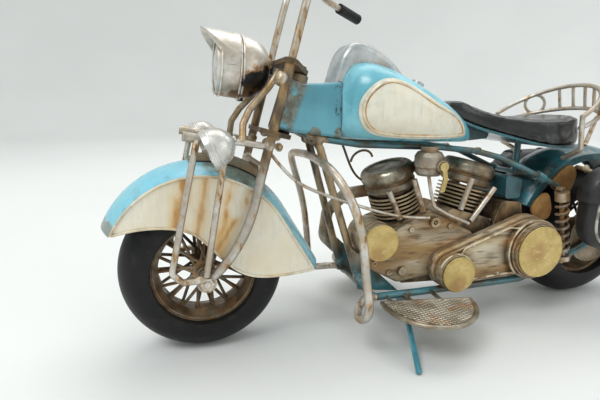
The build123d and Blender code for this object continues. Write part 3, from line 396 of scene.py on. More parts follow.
def cap_finish():
    """Brass-yellow lacquer with a brown bloom in the middle and a dark line round the edge."""
    f = Finish("round_cap_lacquer")
    tone = f.noise(6 * MM, 4)
    colour = f.mix(f.band(tone, 0.36, 0.64), (0.60, 0.45, 0.16), (0.50, 0.36, 0.115))
    bloom = 0.0
    for x, z, reach in ((-32, 46, 7), (12, 27, 7), (59, 40, 10)):
        gap = f.math("ADD", f.away((x * MM, -30 * MM, z * MM)), f.both(f.math("SUBTRACT", tone, 0.5), 8 * MM))
        bloom = f.either(f.band(gap, reach * MM, 2.5 * MM, 0.62), bloom)
    colour = f.mix(bloom, colour, (0.34, 0.165, 0.05))
    scrape = f.band(f.noise(1.1 * MM, 6, (1.8, 1, 1), 6.0, 35), 0.60, 0.72, 0.45)
    colour = f.mix(scrape, colour, (0.26, 0.15, 0.05))
    pale = f.band(f.noise(2.4 * MM, 6, (1.5, 1, 1), 16.0, -20), 0.54, 0.72, 0.45)
    colour = f.mix(pale, colour, (0.72, 0.60, 0.30))
    edge = f.both(f.band(f.hidden(2.5 * MM), 0.10, 0.5), f.band(f.noise(4 * MM, 4, shift=18.0), 0.34, 0.56, 0.95))
    colour = f.mix(edge, colour, (0.22, 0.10, 0.03))
    rough = f.math("ADD", f.band(tone, 0.3, 0.7, 0.18), 0.36)
    return f.close(colour, rough, 0.25, [(f.noise(2.0 * MM, 4, (2.5, 1, 1), 3.0), 0.10 * MM)], 0.4 * MM, 0.2)


def rubber(name, base, rough, grain):
    f = Finish(name)
    tone = f.noise(16 * MM, 4)
    colour = f.mix(f.band(tone, 0.35, 0.65), base, tuple(1.7 * c for c in base))
    dust = f.both(f.band(f.noise(7 * MM, 5, shift=3.0), 0.50, 0.72), 0.25)
    colour = f.mix(dust, colour, (0.050, 0.048, 0.044))
    scuff = f.band(f.noise(2.0 * MM, 4, (4, 1, 1), 11.0), 0.66, 0.74, 0.4)
    colour = f.mix(scuff, colour, (0.040, 0.038, 0.036))
    roughness = f.math("ADD", f.band(tone, 0.3, 0.7, 0.10), rough)
    grit = f.noise(grain * MM, 4, shift=5.0)
    return f.close(colour, roughness, 0.0, [(grit, 0.05 * MM)], 0.3 * MM, shine=0.25)


def leather(name, base, pale, rough, grain=0.9, depth=0.10):
    """Pebbled hide: cells with soft creases, rubbed paler on its high places."""
    f = Finish(name)
    mapping = f.tree.nodes.new("ShaderNodeMapping")
    mapping.inputs["Scale"].default_value = [1 / (grain * MM)] * 3
    f.feed(mapping.inputs["Vector"], f.place)
    cells = f.tree.nodes.new("ShaderNodeTexVoronoi")
    cells.feature = "SMOOTH_F1"
    f.feed(cells.inputs["Vector"], mapping.outputs["Vector"])
    pebble = cells.outputs["Distance"]
    tone = f.noise(13 * MM, 4)
    colour = f.mix(f.band(tone, 0.36, 0.66), base, pale)
    colour = f.mix(f.band(pebble, 0.45, 0.85, 0.5), colour, tuple(0.4 * c for c in base))
    worn = f.both(f.band(f.hidden(3 * MM, True), 0.30, 0.65), f.band(f.noise(5 * MM, 4, shift=8.0), 0.40, 0.60, 0.6))
    colour = f.mix(worn, colour, tuple(3.2 * c for c in pale))
    dirt = f.band(f.hidden(3 * MM), 0.45, 0.9, 0.6)
    colour = f.mix(dirt, colour, (0.006, 0.005, 0.005))
    roughness = f.math("ADD", f.band(tone, 0.3, 0.7, 0.14), rough)
    crease = f.noise(7 * MM, 4, (1, 1, 2.2), 4.0)
    return f.close(colour, roughness, 0.0, [(crease, 0.25 * MM), (pebble, -depth * MM)], 0.0, 0.25)


def lens(name, tint, rough=0.05):
    """Pressed lamp glass with fine upright ribs and a film of dust."""
    f = Finish(name)
    dust = f.band(f.noise(5 * MM, 5), 0.42, 0.70, 0.35)
    ribs = f.tree.nodes.new("ShaderNodeTexWave")
    ribs.bands_direction = "Y"
    ribs.inputs["Scale"].default_value = 260.0
    f.feed(ribs.inputs["Vector"], f.place)
    colour = f.mix(dust, tint, (0.52, 0.48, 0.40))
    f.surface.inputs["Transmission Weight"].default_value = 0.55
    return f.close(colour, f.math("ADD", f.both(dust, 0.6), rough), 0.0, [(ribs.outputs["Fac"], 0.12 * MM)], 0.0, 0.6)


def tread_plate(name):
    """The footboard's sheet: silver high places, brown in the mesh's openings."""
    f = Finish(name)
    dirt = f.band(f.hidden(1.6 * MM), 0.20, 0.62, 0.92)
    tone = f.noise(8 * MM, 4)
    colour = f.mix(f.band(tone, 0.35, 0.65), (0.40, 0.36, 0.29), (0.22, 0.185, 0.135))
    colour = f.mix(dirt, colour, (0.060, 0.040, 0.024))
    rust = f.band(f.noise(10 * MM, 5, shift=5.0), 0.54, 0.68, 0.6)
    colour = f.mix(rust, colour, RUST)
    return f.close(colour, f.math("ADD", f.both(dirt, 0.3), 0.36), f.blend(dirt, 0.75, 0.2),
                   [(f.noise(0.9 * MM, 4), 0.08 * MM)], 0.2 * MM)


blue_paint = enamel("blue_enamel", BLUE, BLUE_LIGHT)
# Painted light: the fender crown gets a lighter copy of the tank's blue, standing in for the light on its top.
crown_paint = enamel("blue_crown_painted_light", BLUE_LIGHT, (0.20, 0.55, 0.70), stains=crown_rub)
# Painted shade: the neck gets a darker copy of the tank's blue.
neck_paint = enamel("blue_neck_painted_shade", (0.125, 0.39, 0.48), (0.085, 0.30, 0.385), 0.9, stains=neck_wear)
oil_tank_paint = enamel("oil_tank_teal", (0.030, 0.125, 0.155), (0.014, 0.050, 0.060), 0.9, 0.9, 0.6, shade_below, 8)
teal_paint = enamel("teal_enamel", (0.055, 0.22, 0.27), (0.018, 0.075, 0.090), 0.8, 0.9, 0.5, shade_below, 14)
frame_paint = enamel("frame_enamel", (0.065, 0.22, 0.26), (0.085, 0.075, 0.048), 1.0, 1.0, 0.8, bronze_downtubes, 9)
stand_paint = enamel("stand_enamel", (0.10, 0.38, 0.50), (0.05, 0.22, 0.28), 1.0, 0.5, 0.5, None, 7)
cream_paint = enamel("cream_enamel", CREAM, (0.78, 0.72, 0.57), 0.8, 0.75, 0.25)
skirt_paint = enamel("cream_fender", CREAM, (0.78, 0.71, 0.55), 0.4, 0.8, 0.3, beside_rods)
bead_paint = enamel("cream_bead", (0.82, 0.77, 0.64), (0.72, 0.58, 0.38), 0.5, 1.0, 0.4)
lamp_metal = old_metal("lamp_silver", (0.74, 0.715, 0.67), (0.52, 0.47, 0.39), 0.42, 0.6, 0.28, painted_highlight_gain=1.15, stains=lamp_burn)
spot_metal = old_metal("spot_silver", (0.70, 0.70, 0.67), (0.50, 0.485, 0.45), 0.32, 0.3, 0.24, edge=0.0, painted_highlight_gain=1.1)
rod_metal = old_metal("rod_steel", (0.66, 0.64, 0.60), (0.52, 0.47, 0.385), 0.50, 1.0, 0.24, 0.05, painted_highlight_gain=1.15, stains=rod_rust_and_shade)
rusty_metal = old_metal("rusty_rod", (0.54, 0.48, 0.38), (0.40, 0.27, 0.13), 0.75, 1.0, 0.30, 0.08, painted_highlight_gain=1.2, stains=rod_rust_and_shade)
engine_metal = old_metal("engine_alloy", (0.45, 0.42, 0.355), (0.25, 0.21, 0.15), 0.90, 0.9, 0.36, 0.10)
case_metal = old_metal("case_alloy", (0.44, 0.36, 0.24), (0.24, 0.165, 0.080), 0.95, 0.9, 0.38, 0.10, stains=oily,
                       painted_hollow_shade=0.85)
yoke_metal = old_metal("yoke_bronze", (0.155, 0.115, 0.070), (0.065, 0.048, 0.030), 0.9, 0.45, 0.46, 0.12, painted_highlight_gain=1.6)
leg_metal = old_metal("leg_steel", (0.60, 0.59, 0.555), (0.48, 0.45, 0.39), 0.50, 1.0, 0.25, 0.05, painted_highlight_gain=1.15,
                      stains=bronze_above)
cover_metal = old_metal("cover_alloy", (0.60, 0.53, 0.40), (0.42, 0.29, 0.135), 0.90, 1.0, 0.32, 0.20, 0.35, GRAIN, 28,
                        stains=cover_streaks, painted_hollow_shade=0.75)
head_metal = old_metal("head_iron", (0.42, 0.385, 0.30), (0.090, 0.075, 0.050), 0.80, 0.6, 0.25, 0.12, painted_highlight_gain=1.6,
                       painted_hollow_shade=0.55)
barrel_metal = old_metal("barrel_iron", (0.46, 0.36, 0.22), (0.24, 0.165, 0.085), 1.0, 0.8, 0.36, 0.08,
                         stains=barrel_rub_and_gap_shade, painted_hollow_shade=0.7)
rim_metal = old_metal("rim_steel", (0.30, 0.255, 0.18), (0.085, 0.062, 0.036), 0.90, 0.7, 0.30, 0.06, painted_highlight_gain=2.4,
                      painted_hollow_shade=0.80)
leaf_metal = old_metal("leaf_olive", (0.24, 0.24, 0.18), (0.13, 0.125, 0.085), 0.7, 0.3, 0.46, 0.10)
plate_metal = old_metal("rusty_plate", (0.50, 0.29, 0.10), (0.33, 0.16, 0.05), 0.6, 1.0, 0.5, 0.14)
dash_metal = old_metal("dash_silver", (0.58, 0.62, 0.63), (0.40, 0.45, 0.47), 0.30, 0.3, 0.27)
brass_metal = old_metal("lever_brass", (0.62, 0.50, 0.22), (0.44, 0.33, 0.12), 0.45, 0.2, 0.32)
wire_coat = old_metal("dark_wire", (0.13, 0.095, 0.065), (0.07, 0.05, 0.035), 0.7, 0.3, 0.5)
cap_paint = cap_finish()
tyre_rubber = rubber("tyre_rubber", (0.006, 0.006, 0.006), 0.44, 1.1)
grip_rubber = rubber("grip_rubber", (0.009, 0.009, 0.010), 0.50, 0.7)
seat_hide = leather("seat_hide", (0.006, 0.0065, 0.007), (0.013, 0.014, 0.015), 0.19, 0.8, 0.03)
bag_hide = leather("bag_hide", (0.0045, 0.0045, 0.005), (0.009, 0.009, 0.0095), 0.40)
piping_hide = leather("piping_hide", (0.34, 0.335, 0.32), (0.22, 0.21, 0.195), 0.45, 0.7, 0.05)
clear_lens = lens("clear_lens", (0.80, 0.81, 0.76))
red_lens = lens("red_lens", (0.50, 0.02, 0.015))
board_metal = tread_plate("tread_plate")

FINISHES = {
    blue_paint: "fuel_tank",
    crown_paint: "front_fender",
    neck_paint: "neck_cover",
    teal_paint: "rear_fender seat_pan",
    oil_tank_paint: "oil_tank",
    frame_paint: "main_frame",
    stand_paint: "kickstand",
    cream_paint: "tank_panels",
    skirt_paint: "fender_skirts",
    lamp_metal: "headlamp_bucket headlamp_rim",
    spot_metal: "left_spot_lamp right_spot_lamp",
    leg_metal: "fork_legs",
    yoke_metal: "upper_yoke steering_stem",
    rod_metal: "fork_struts crash_bar passenger_rail pushrod_tubes front_axle rear_axle handlebar",
    rusty_metal: "headlamp_stays shock_rods",
    case_metal: "crankcase gearbox",
    engine_metal: "carburettor exhaust_pipe rear_springs tail_lamp",
    cover_metal: "engine_side_cover primary_cover generator",
    head_metal: "cylinder_heads",
    barrel_metal: "cylinders",
    rim_metal: "front_rim rear_rim front_hub rear_hub",
    leaf_metal: "leaf_spring",
    plate_metal: "spring_covers",
    dash_metal: "dash_console",
    brass_metal: "fuel_tap_lever",
    wire_coat: "plug_wires",
    cap_paint: "round_caps",
    tyre_rubber: "front_tyre rear_tyre",
    grip_rubber: "handlebar_grips",
    clear_lens: "headlamp_glass left_spot_glass right_spot_glass",
    red_lens: "tail_lamp_glass",
    board_metal: "footboards",
    seat_hide: "seat_cushion",
    bag_hide: "left_saddlebag right_saddlebag",
}


def refinish(node, material):
    mesh = nodes[node].data
    mesh.materials.clear()
    mesh.materials.append(material)


for material, names in FINISHES.items():
    for node in names.split():
        refinish(node, material)
for node in ("fuel_pipe", "control_cable"):
    refinish(node, rod_metal)


# ---------------------------------------------------------------- mesh kit

def add_piece(name, mesh, body, material, slot, smooth=True):
    """A finished mesh becomes a named piece that rides on a CAD body."""
    piece = bpy.data.objects.new(name, mesh)
    bpy.context.collection.objects.link(piece)
    mesh.materials.clear()
    mesh.materials.append(material)
    for face in mesh.polygons:
        face.use_smooth = smooth
    if body:
        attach(piece, body)
    return piece


def tube_mesh(points, radius, closed=False, smooth=True, sides=3):
    """A round tube through points in millimetres, as a mesh in metres."""
    curve = bpy.data.curves.new("tube", "CURVE")
    curve.dimensions = "3D"
    curve.bevel_depth = radius * MM
    curve.bevel_resolution = sides
    curve.use_fill_caps = not closed
    curve.resolution_u = 5
    spline = curve.splines.new("NURBS" if smooth else "POLY")
    spline.points.add(len(points) - 1)
    for knot, point in zip(spline.points, points):
        knot.co = (*(Vector(point) * MM), 1.0)
    spline.use_cyclic_u = closed
    spline.use_endpoint_u = not closed
    spline.order_u = 4
    holder = bpy.data.objects.new("tube", curve)
    bpy.context.collection.objects.link(holder)
    bpy.context.view_layer.update()
    mesh = bpy.data.meshes.new_from_object(holder.evaluated_get(bpy.context.evaluated_depsgraph_get()))
    bpy.data.objects.remove(holder)
    bpy.data.curves.remove(curve)
    return mesh


def turned_mesh(profile, place, axis, sides=28, turn=0.0, ends="both"):
    """A turned shape from (radius, height) points in millimetres. ends: both closed, only the first, or a ring."""
    along = Vector(axis).normalized()
    aside = along.orthogonal().normalized()
    third = along.cross(aside)
    shape = bmesh.new()
    rings = []
    for radius, height in profile:
        ring = []
        for step in range(sides):
            angle = 2 * math.pi * step / sides + turn
            spoke = aside * math.cos(angle) + third * math.sin(angle)
            ring.append(shape.verts.new((Vector(place) + along * height + spoke * max(radius, 0.001)) * MM))
        rings.append(ring)
    if ends == "ring":
        rings.append(rings[0])
    else:
        shape.faces.new(reversed(rings[0]))
    if ends == "both":
        shape.faces.new(rings[-1])
    for lower, upper in zip(rings, rings[1:]):
        for step in range(sides):
            after = (step + 1) % sides
            shape.faces.new((lower[step], lower[after], upper[after], upper[step]))
    bmesh.ops.recalc_face_normals(shape, faces=shape.faces)
    mesh = bpy.data.meshes.new("turned")
    shape.to_mesh(mesh)
    shape.free()
    return mesh


def merged(meshes):
    """Several meshes as one."""
    shape = bmesh.new()
    for mesh in meshes:
        shape.from_mesh(mesh)
        bpy.data.meshes.remove(mesh)
    mesh = bpy.data.meshes.new("merged")
    shape.to_mesh(mesh)
    shape.free()
    return mesh


def other_side(mesh):
    """The mesh and its mirror image across the bike."""
    twin = mesh.copy()
    twin.transform(Matrix.Scale(-1, 4, (0, 1, 0)))
    twin.flip_normals()
    return merged([mesh, twin])


def rim_loop(node, side, inset=0.0):
    """Points in millimetres along the outline of a node's outward face on one side of the bike."""
    shape = bmesh.new()
    shape.from_mesh(nodes[node].data)
    bmesh.ops.remove_doubles(shape, verts=shape.verts, dist=0.02 * MM)
    shape.normal_update()
    outward = {face for face in shape.faces if face.normal.y * side > 0.3 and face.calc_center_median().y * side > 0}
    beside = {}
    for edge in shape.edges:
        if sum(face in outward for face in edge.link_faces) == 1:
            for one, two in (edge.verts, reversed(edge.verts)):
                beside.setdefault(one, []).append(two)
    best, unused = [], set(beside)
    while unused:
        loop = [unused.pop()]
        while True:
            following = [vert for vert in beside[loop[-1]] if vert in unused]
            if not following:
                break
            loop.append(following[0])
            unused.discard(following[0])
        if len(loop) > len(best):
            best = loop
    points = [vert.co / MM for vert in best]
    shape.free()
    centre = sum(points, Vector()) / len(points)
    return [point + (centre - point).normalized() * inset for point in points]


def even(points, spacing):
    """The same closed line with points at an even spacing."""
    loop = points + points[:1]
    lengths = [0.0]
    for one, two in zip(loop, loop[1:]):
        lengths.append(lengths[-1] + (two - one).length)
    count = max(12, round(lengths[-1] / spacing))
    result, index = [], 0
    for step in range(count):
        target = lengths[-1] * step / count
        while lengths[index + 1] < target:
            index += 1
        share = (target - lengths[index]) / max(lengths[index + 1] - lengths[index], 1e-9)
        result.append(loop[index].lerp(loop[index + 1], share))
    return result


# ---------------------------------------------------------------- beads on tank and fenders

def outline_bead(name, node, radius, inset, lift, body, material, slot, both_sides=True):
    """A round bead laid on a node's outward face, at an even distance inside its outline."""
    loop = []
    for point in even(rim_loop(node, -1, inset), 2.0):
        spot = nodes[node].closest_point_on_mesh((point + Vector((0, -3, 0))) * MM)[1]
        loop.append(spot / MM + Vector((0, -lift, 0)))
    bead = tube_mesh(loop, radius, closed=True)
    add_piece(name, other_side(bead) if both_sides else bead, body, material, slot)


outline_bead("tank_panel_bead", "tank_panels", 0.70, 0.5, 0.1, "frame", bead_paint, "cream")
outline_bead("tank_panel_groove", "tank_panels", 0.42, 1.8, -0.15, "frame", plate_metal, "rust")
outline_bead("fender_side_bead", "fender_skirts", 0.60, 0.5, 0.1, "fork", bead_paint, "cream")


outline_bead("primary_cover_rib", "primary_cover", 0.55, 0.3, 0.1, "frame", cover_metal, "cast", False)


# ---------------------------------------------------------------- footboard mesh

def board_mesh():
    """Crossed wires that fill the D-shaped board, clipped to its rim."""
    middle, half, reach, turn = Vector((-7.0, -32.4, 21.5)), 21.8, 26.2, math.radians(-10.9)
    pitch, wire = 1.9, 0.34
    strands = []
    for lean in (34, -34):
        along = Vector((math.cos(math.radians(lean)), math.sin(math.radians(lean)), 0))
        across = Vector((-along.y, along.x, 0))
        for step in range(-26, 27):
            base = across * (step * pitch)
            inside = []
            for mark in range(-160, 161):
                spot = base + along * (mark * 0.25)
                if spot.y < -0.4 and (spot.x / half) ** 2 + (spot.y / reach) ** 2 < 1:
                    inside.append(spot)
            if len(inside) > 4:
                turned = [Matrix.Rotation(turn, 3, "Z") @ spot + middle for spot in (inside[0], inside[-1])]
                strands.append(tube_mesh(turned, wire, smooth=False, sides=0))
    return merged(strands)


add_piece("footboard_mesh", other_side(board_mesh()), "frame", board_metal, "cast", smooth=False)


# ---------------------------------------------------------------- headlamp, caps, bolts

def ring(place, axis, radius, thick, sides=48):
    """A thin raised ring."""
    section = [math.radians(45 * step) for step in range(8)]
    profile = [(radius + thick * math.cos(angle), thick * math.sin(angle)) for angle in section]
    return turned_mesh(profile, place, axis, sides, ends="ring")


def bolt(place, axis, radius, tall, turn=0.0):
    """A hexagon head on a washer, with a chamfered top."""
    head = [(radius, 0), (radius, tall * 0.75), (radius * 0.82, tall)]
    washer = [(radius * 1.35, -0.1), (radius * 1.35, 0.18), (radius * 1.2, 0.26)]
    return merged([turned_mesh(head, place, axis, 6, turn), turned_mesh(washer, place, axis, 16)])


def cap_rims():
    rims = []
    for x, y, z, radius in ((-30.6, -26.9, 52.1, 9.0), (12.4, -31.1, 32.4, 9.2), (61.4, -32.9, 40.4, 13.9)):
        rims.append(ring((x, y, z), (0, -1, 0), radius - 0.1, 0.4))
    return merged(rims)


def engine_bolts():
    heads = []
    for x, z in ((2.6, 58.6), (-15.2, 33.8)):
        heads.append(bolt((x, -20.9, z), (0, -1, 0), 0.8, 1.0, 0.3))
    for x, z in ((24.5, 27.6), (24.0, 45.4), (40.6, 51.3), (40.4, 28.2)):
        heads.append(bolt((x, -25.5, z), (0, -1, 0), 0.9, 0.8, 0.7))
    return merged(heads)


def headlamp_trim():
    """Raised rings on the lamp body, a clamp screw under it and a small one on its side."""
    tilt = math.radians(4.0)
    axis = Vector((math.cos(tilt), 0, -math.sin(tilt)))
    middle = Vector((-95, 0, 136))
    trim = [ring(middle + axis * back, axis, radius, 0.45, 64) for back, radius in ((-8.2, 13.7), (0.3, 14.4), (1.5, 14.4))]
    for turn in (-90, 200):
        angle = math.radians(turn)
        out = Vector((0, -math.cos(angle), math.sin(angle)))
        trim.append(turned_mesh([(1.7, 0), (1.7, 1.1), (1.2, 1.6)], middle + out * 13.9 + axis * 1.0, out, 14))
    return merged(trim)


def spot_lamp_trim():
    """The raised ring behind the left spot lamp's lens and the nut on its back."""
    tilt = math.radians(24.0)
    axis = Vector((math.cos(tilt), 0, math.sin(tilt)))
    middle = Vector((-111.2, -34.6, 101.6))
    return merged([ring(middle + axis * 0.3, axis, 8.6, 0.4), turned_mesh([(1.5, 0), (1.5, 1.0), (0.9, 1.5)],
                                                                          middle + axis * 9.2, axis, 6)])


def solder(place, size, stretch, seed):
    """A lump of solder: a ball pulled out of shape."""
    lump = bmesh.new()
    bmesh.ops.create_icosphere(lump, subdivisions=3, radius=size * MM)
    for vert in lump.verts:
        way = vert.co.normalized()
        swell = 1 + 0.10 * math.sin(3 * way.x + seed) * math.sin(4 * way.z + 2 * seed) + 0.06 * math.sin(5 * way.y - seed)
        vert.co = Vector(place) * MM + Vector([a * b * swell for a, b in zip(vert.co, stretch)])
    mesh = bpy.data.meshes.new("lump")
    lump.to_mesh(mesh)
    lump.free()
    return mesh


def fork_solder():
    """Lumps where the stays, the lamp bar, the cross tube and the struts meet the legs."""
    spots = (((-78.6, -21.0, 130.0), 2.6, (1.2, 1, 1.3)), ((-84.6, -21.2, 101.0), 2.4, (1.1, 1.1, 1)),
             ((-87.6, -20.8, 91.2), 2.4, (1, 1, 1)), ((-107.0, -21.4, 103.9), 1.9, (1.5, 1, 0.9)),
             ((-97.0, -20.6, 103.4), 1.9, (1.1, 1, 1)), ((-117.6, -24.4, 42.4), 1.9, (1.4, 0.9, 1)))
    lumps = [solder(place, size, stretch, 1.7 * count) for count, (place, size, stretch) in enumerate(spots)]
    for x, z in ((-79.5, 104.5), (-78.6, 99.5)):
        lumps.append(bolt((x, -14.0, z), (0.35, -0.9, 0.2), 1.6, 1.8, 0.4))
    return merged(lumps)


def frame_solder():
    """Lumps where the frame's tubes meet."""
    spots = (((-57.5, -7.6, 101.5), 2.8, (1.4, 1, 1)), ((-37.0, -13.6, 30.5), 2.5, (1, 1, 1.2)),
             ((30.0, -14.6, 94.2), 1.9, (1.5, 1, 1)), ((84.0, -19.4, 27.4), 2.3, (1.3, 1, 1)))
    return merged([solder(place, size, stretch, 2.3 * count) for count, (place, size, stretch) in enumerate(spots)])


def lamp_pair(left):
    right = left.copy()
    right.transform(Matrix.Scale(-1, 4, (0, 1, 0)))
    right.flip_normals()
    add_piece("left_spot_ring", left, "left_lamp", spot_metal, "steel")
    add_piece("right_spot_ring", right, "right_lamp", spot_metal, "steel")


lamp_pair(spot_lamp_trim())
add_piece("fork_solder", other_side(fork_solder()), "fork", rusty_metal, "rust")
add_piece("frame_solder", other_side(frame_solder()), "frame", frame_paint, "painted")
add_piece("headlamp_trim", headlamp_trim(), "fork", lamp_metal, "steel")
add_piece("round_cap_rims", cap_rims(), "frame", cap_paint, "brass")
add_piece("engine_bolts", engine_bolts(), "frame", engine_metal, "steel", smooth=False)


# ---------------------------------------------------------------- seat

def shrink_and_puff(node, voxel, grow, pressure, cap):
    """A padded copy of a CAD cushion: remeshed, blown up a little as cloth, and smoothed. Simulated at 20 times size."""
    scale = 20.0
    mesh = nodes[node].data.copy()
    pad = bpy.data.objects.new("pad", mesh)
    bpy.context.collection.objects.link(pad)
    mesh.transform(Matrix.Scale(scale, 4))
    bpy.context.view_layer.objects.active = pad
    pad.select_set(True)
    remesh = pad.modifiers.new("remesh", "REMESH")
    remesh.mode = "VOXEL"
    remesh.voxel_size = voxel * MM * scale
    bpy.ops.object.modifier_apply(modifier=remesh.name)
    smooth = pad.modifiers.new("smooth", "SMOOTH")
    smooth.factor = 0.5
    smooth.iterations = 6
    bpy.ops.object.modifier_apply(modifier=smooth.name)
    rest = [v.co.copy() for v in pad.data.vertices]
    normals = [v.normal.copy() for v in pad.data.vertices]
    floor = pad.vertex_groups.new(name="floor")
    for index, normal in enumerate(normals):
        if normal.z < -0.35:
            floor.add([index], 1.0, "REPLACE")
    cloth = pad.modifiers.new("cloth", "CLOTH")
    cloth.settings.vertex_group_mass = "floor"
    cloth.settings.use_pressure = True
    cloth.settings.uniform_pressure_force = pressure
    cloth.settings.effector_weights.gravity = 0
    cloth.point_cache.frame_end = 20
    for step in range(1, 19):
        bpy.context.scene.frame_set(step)
    puffed = pad.evaluated_get(bpy.context.evaluated_depsgraph_get()).data
    moved = [v.co.copy() for v in puffed.vertices]
    pad.modifiers.remove(cloth)
    bpy.context.scene.frame_set(1)
    limit = cap * MM * scale
    for vertex, spot, target, normal in zip(pad.data.vertices, rest, moved, normals):
        step = target - spot
        if step.length > limit:
            step = step.normalized() * limit
        if normal.z < -0.35:
            step = Vector()
        vertex.co = spot + step + normal * grow * MM * scale * (1 if normal.z > 0 else 0)
    pad.data.transform(Matrix.Scale(1 / scale, 4))
    result = pad.data.copy()
    bpy.data.objects.remove(pad)
    return result


def seat():
    """The saddle: one crowned pad with a rolled edge."""
    pad = add_piece("saddle_pad", shrink_and_puff("seat_cushion", 1.3, 0.0, 3.0, 0.8), "frame", seat_hide, "seat")
    finer = pad.modifiers.new("finer", "SUBSURF")
    finer.levels = 1
    finer.render_levels = 1
    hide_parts("seat_cushion")
    return pad


seat()


# ---------------------------------------------------------------- saddlebags

BAG_BOX = [Vector(corner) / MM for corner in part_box("left_saddlebag")]
BAG_HALF = Vector(((BAG_BOX[1].x - BAG_BOX[0].x) / 2 - 1.2, 8.2, 22.2))
BAG_MIDDLE = Vector(((BAG_BOX[0].x + BAG_BOX[1].x) / 2, BAG_BOX[0].y + 8.8, 63.4))


def power(value, exponent):
    return math.copysign(abs(value) ** exponent, value)


def bag_point(turn, tilt):
    """A point of the bag's soft rounded box. turn goes round its side outline, tilt from inner to outer face."""
    corner, thickness = 2 / 3.4, 2 / 3.0
    x = power(math.cos(turn), corner) * power(math.cos(tilt), thickness)
    z = power(math.sin(turn), corner) * power(math.cos(tilt), thickness)
    y = -power(math.sin(tilt), thickness)
    sag = -0.07 * (1 - x * x) if z < 0 else 0.0
    belly = 1 + 0.06 * (1 - z * z) - 0.10 * max(0.0, z) ** 2
    dent = 0.012 * math.sin(9 * x + 5 * z)
    return BAG_MIDDLE + Vector((x * BAG_HALF.x * (1 - 0.05 * z), y * BAG_HALF.y * belly + dent * 4, (z + sag) * BAG_HALF.z))


def bag_shell():
    shape = bmesh.new()
    rounds, layers = 96, 40
    rows = []
    for layer in range(1, layers):
        tilt = -math.pi / 2 + math.pi * layer / layers
        rows.append([shape.verts.new(bag_point(2 * math.pi * step / rounds, tilt) * MM) for step in range(rounds)])
    for lower, upper in zip(rows, rows[1:]):
        for step in range(rounds):
            after = (step + 1) % rounds
            shape.faces.new((lower[step], lower[after], upper[after], upper[step]))
    for row, tilt in ((rows[0], -math.pi / 2), (rows[-1], math.pi / 2)):
        pole = shape.verts.new(bag_point(0.0, tilt) * MM)
        for step in range(rounds):
            shape.faces.new((row[step], row[(step + 1) % rounds], pole))
    bmesh.ops.recalc_face_normals(shape, faces=shape.faces)
    return shape


def shell_cut(planes, lift, thick):
    """A piece of leather lying on the bag: the shell kept on one side of each plane, lifted and given thickness."""
    shape = bag_shell()
    for point, normal in planes:
        everything = [*shape.verts, *shape.edges, *shape.faces]
        bmesh.ops.bisect_plane(shape, geom=everything, plane_co=Vector(point) * MM, plane_no=normal, clear_inner=True)
    shape.normal_update()
    for vertex in list(shape.verts):
        vertex.co += vertex.normal * lift * MM
    bmesh.ops.solidify(shape, geom=list(shape.faces), thickness=-thick * MM)
    bmesh.ops.recalc_face_normals(shape, faces=shape.faces)
    mesh = bpy.data.meshes.new("leather")
    shape.to_mesh(mesh)
    shape.free()
    return mesh


def saddlebag(side):
    """side is -1 on the bike's left, 1 on its right."""
    label = "left" if side < 0 else "right"

    def place(name, mesh, material, slot, smooth=True):
        if side > 0:
            mesh.transform(Matrix.Scale(-1, 4, (0, 1, 0)))
            mesh.flip_normals()
        return add_piece(f"{label}_{name}", mesh, "frame", material, slot, smooth)

    shell = bag_shell()
    mesh = bpy.data.meshes.new("bag")
    shell.to_mesh(mesh)
    shell.free()
    bag = place("bag_body", mesh, bag_hide, "bag")
    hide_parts(f"{label}_saddlebag")
    lid_line = BAG_MIDDLE.z + 4.0
    back = BAG_MIDDLE.y + 3.0
    lid = shell_cut([((0, 0, lid_line), (0, 0, 1)), ((0, back, 0), (0, -1, 0.4))], 0.9, 0.9)
    place("bag_lid", lid, bag_hide, "bag")
    straps, buckles = [], []
    for offset in (-13.0, 13.0):
        x = BAG_MIDDLE.x + offset
        straps.append(shell_cut([((x - 2.4, 0, 0), (1, 0, 0)), ((x + 2.4, 0, 0), (-1, 0, 0)),
                                 ((0, 0, BAG_MIDDLE.z - 9), (0, 0, 1)), ((0, back, 0), (0, -1, 0.4))], 1.9, 0.9))
        front = BAG_MIDDLE.y - BAG_HALF.y - 2.6
        z = BAG_MIDDLE.z + 1.0
        corners = [(x - 3.4, front, z - 2.6), (x + 3.4, front, z - 2.6), (x + 3.4, front, z + 2.6),
                   (x - 3.4, front, z + 2.6)]
        buckles.append(tube_mesh(corners, 0.5, closed=True, smooth=False, sides=2))
        buckles.append(tube_mesh([(x, front - 0.3, z + 2.6), (x, front - 0.6, z), (x, front - 0.2, z - 3.2)], 0.4))
        stud = [(1.1, 0), (1.0, 0.5), (0.6, 0.9), (0.1, 1.0)]
        buckles.append(turned_mesh(stud, (x, front + 0.4, z - 7), (0, -1, 0), 14))
    place("bag_straps", merged(straps), bag_hide, "bag")
    place("bag_buckles", merged(buckles), rod_metal, "steel")
    edge = [bag_point(2 * math.pi * step / 64, math.radians(36)) for step in range(64)]
    inner = [bag_point(2 * math.pi * step / 64, math.radians(-36)) for step in range(64)]
    place("bag_piping", merged([tube_mesh(edge, 0.75, closed=True), tube_mesh(inner, 0.6, closed=True)]),
          piping_hide, "bag")
    arms = []
    for x in (98, 126):
        reach = [(x, BAG_MIDDLE.y + BAG_HALF.y - 1.5, 80), (x, -21, 82.5), (x, -15.0, 82.5)]
        arms.append(tube_mesh(reach, 1.3))
        arms.append(bolt((x, -21.5, 82.5), (0, -1, 0), 1.7, 1.2))
    place("bag_brackets", merged(arms), rusty_metal, "steel")


for side in (-1, 1):
    saddlebag(side)


# ---------------------------------------------------------------- control cable

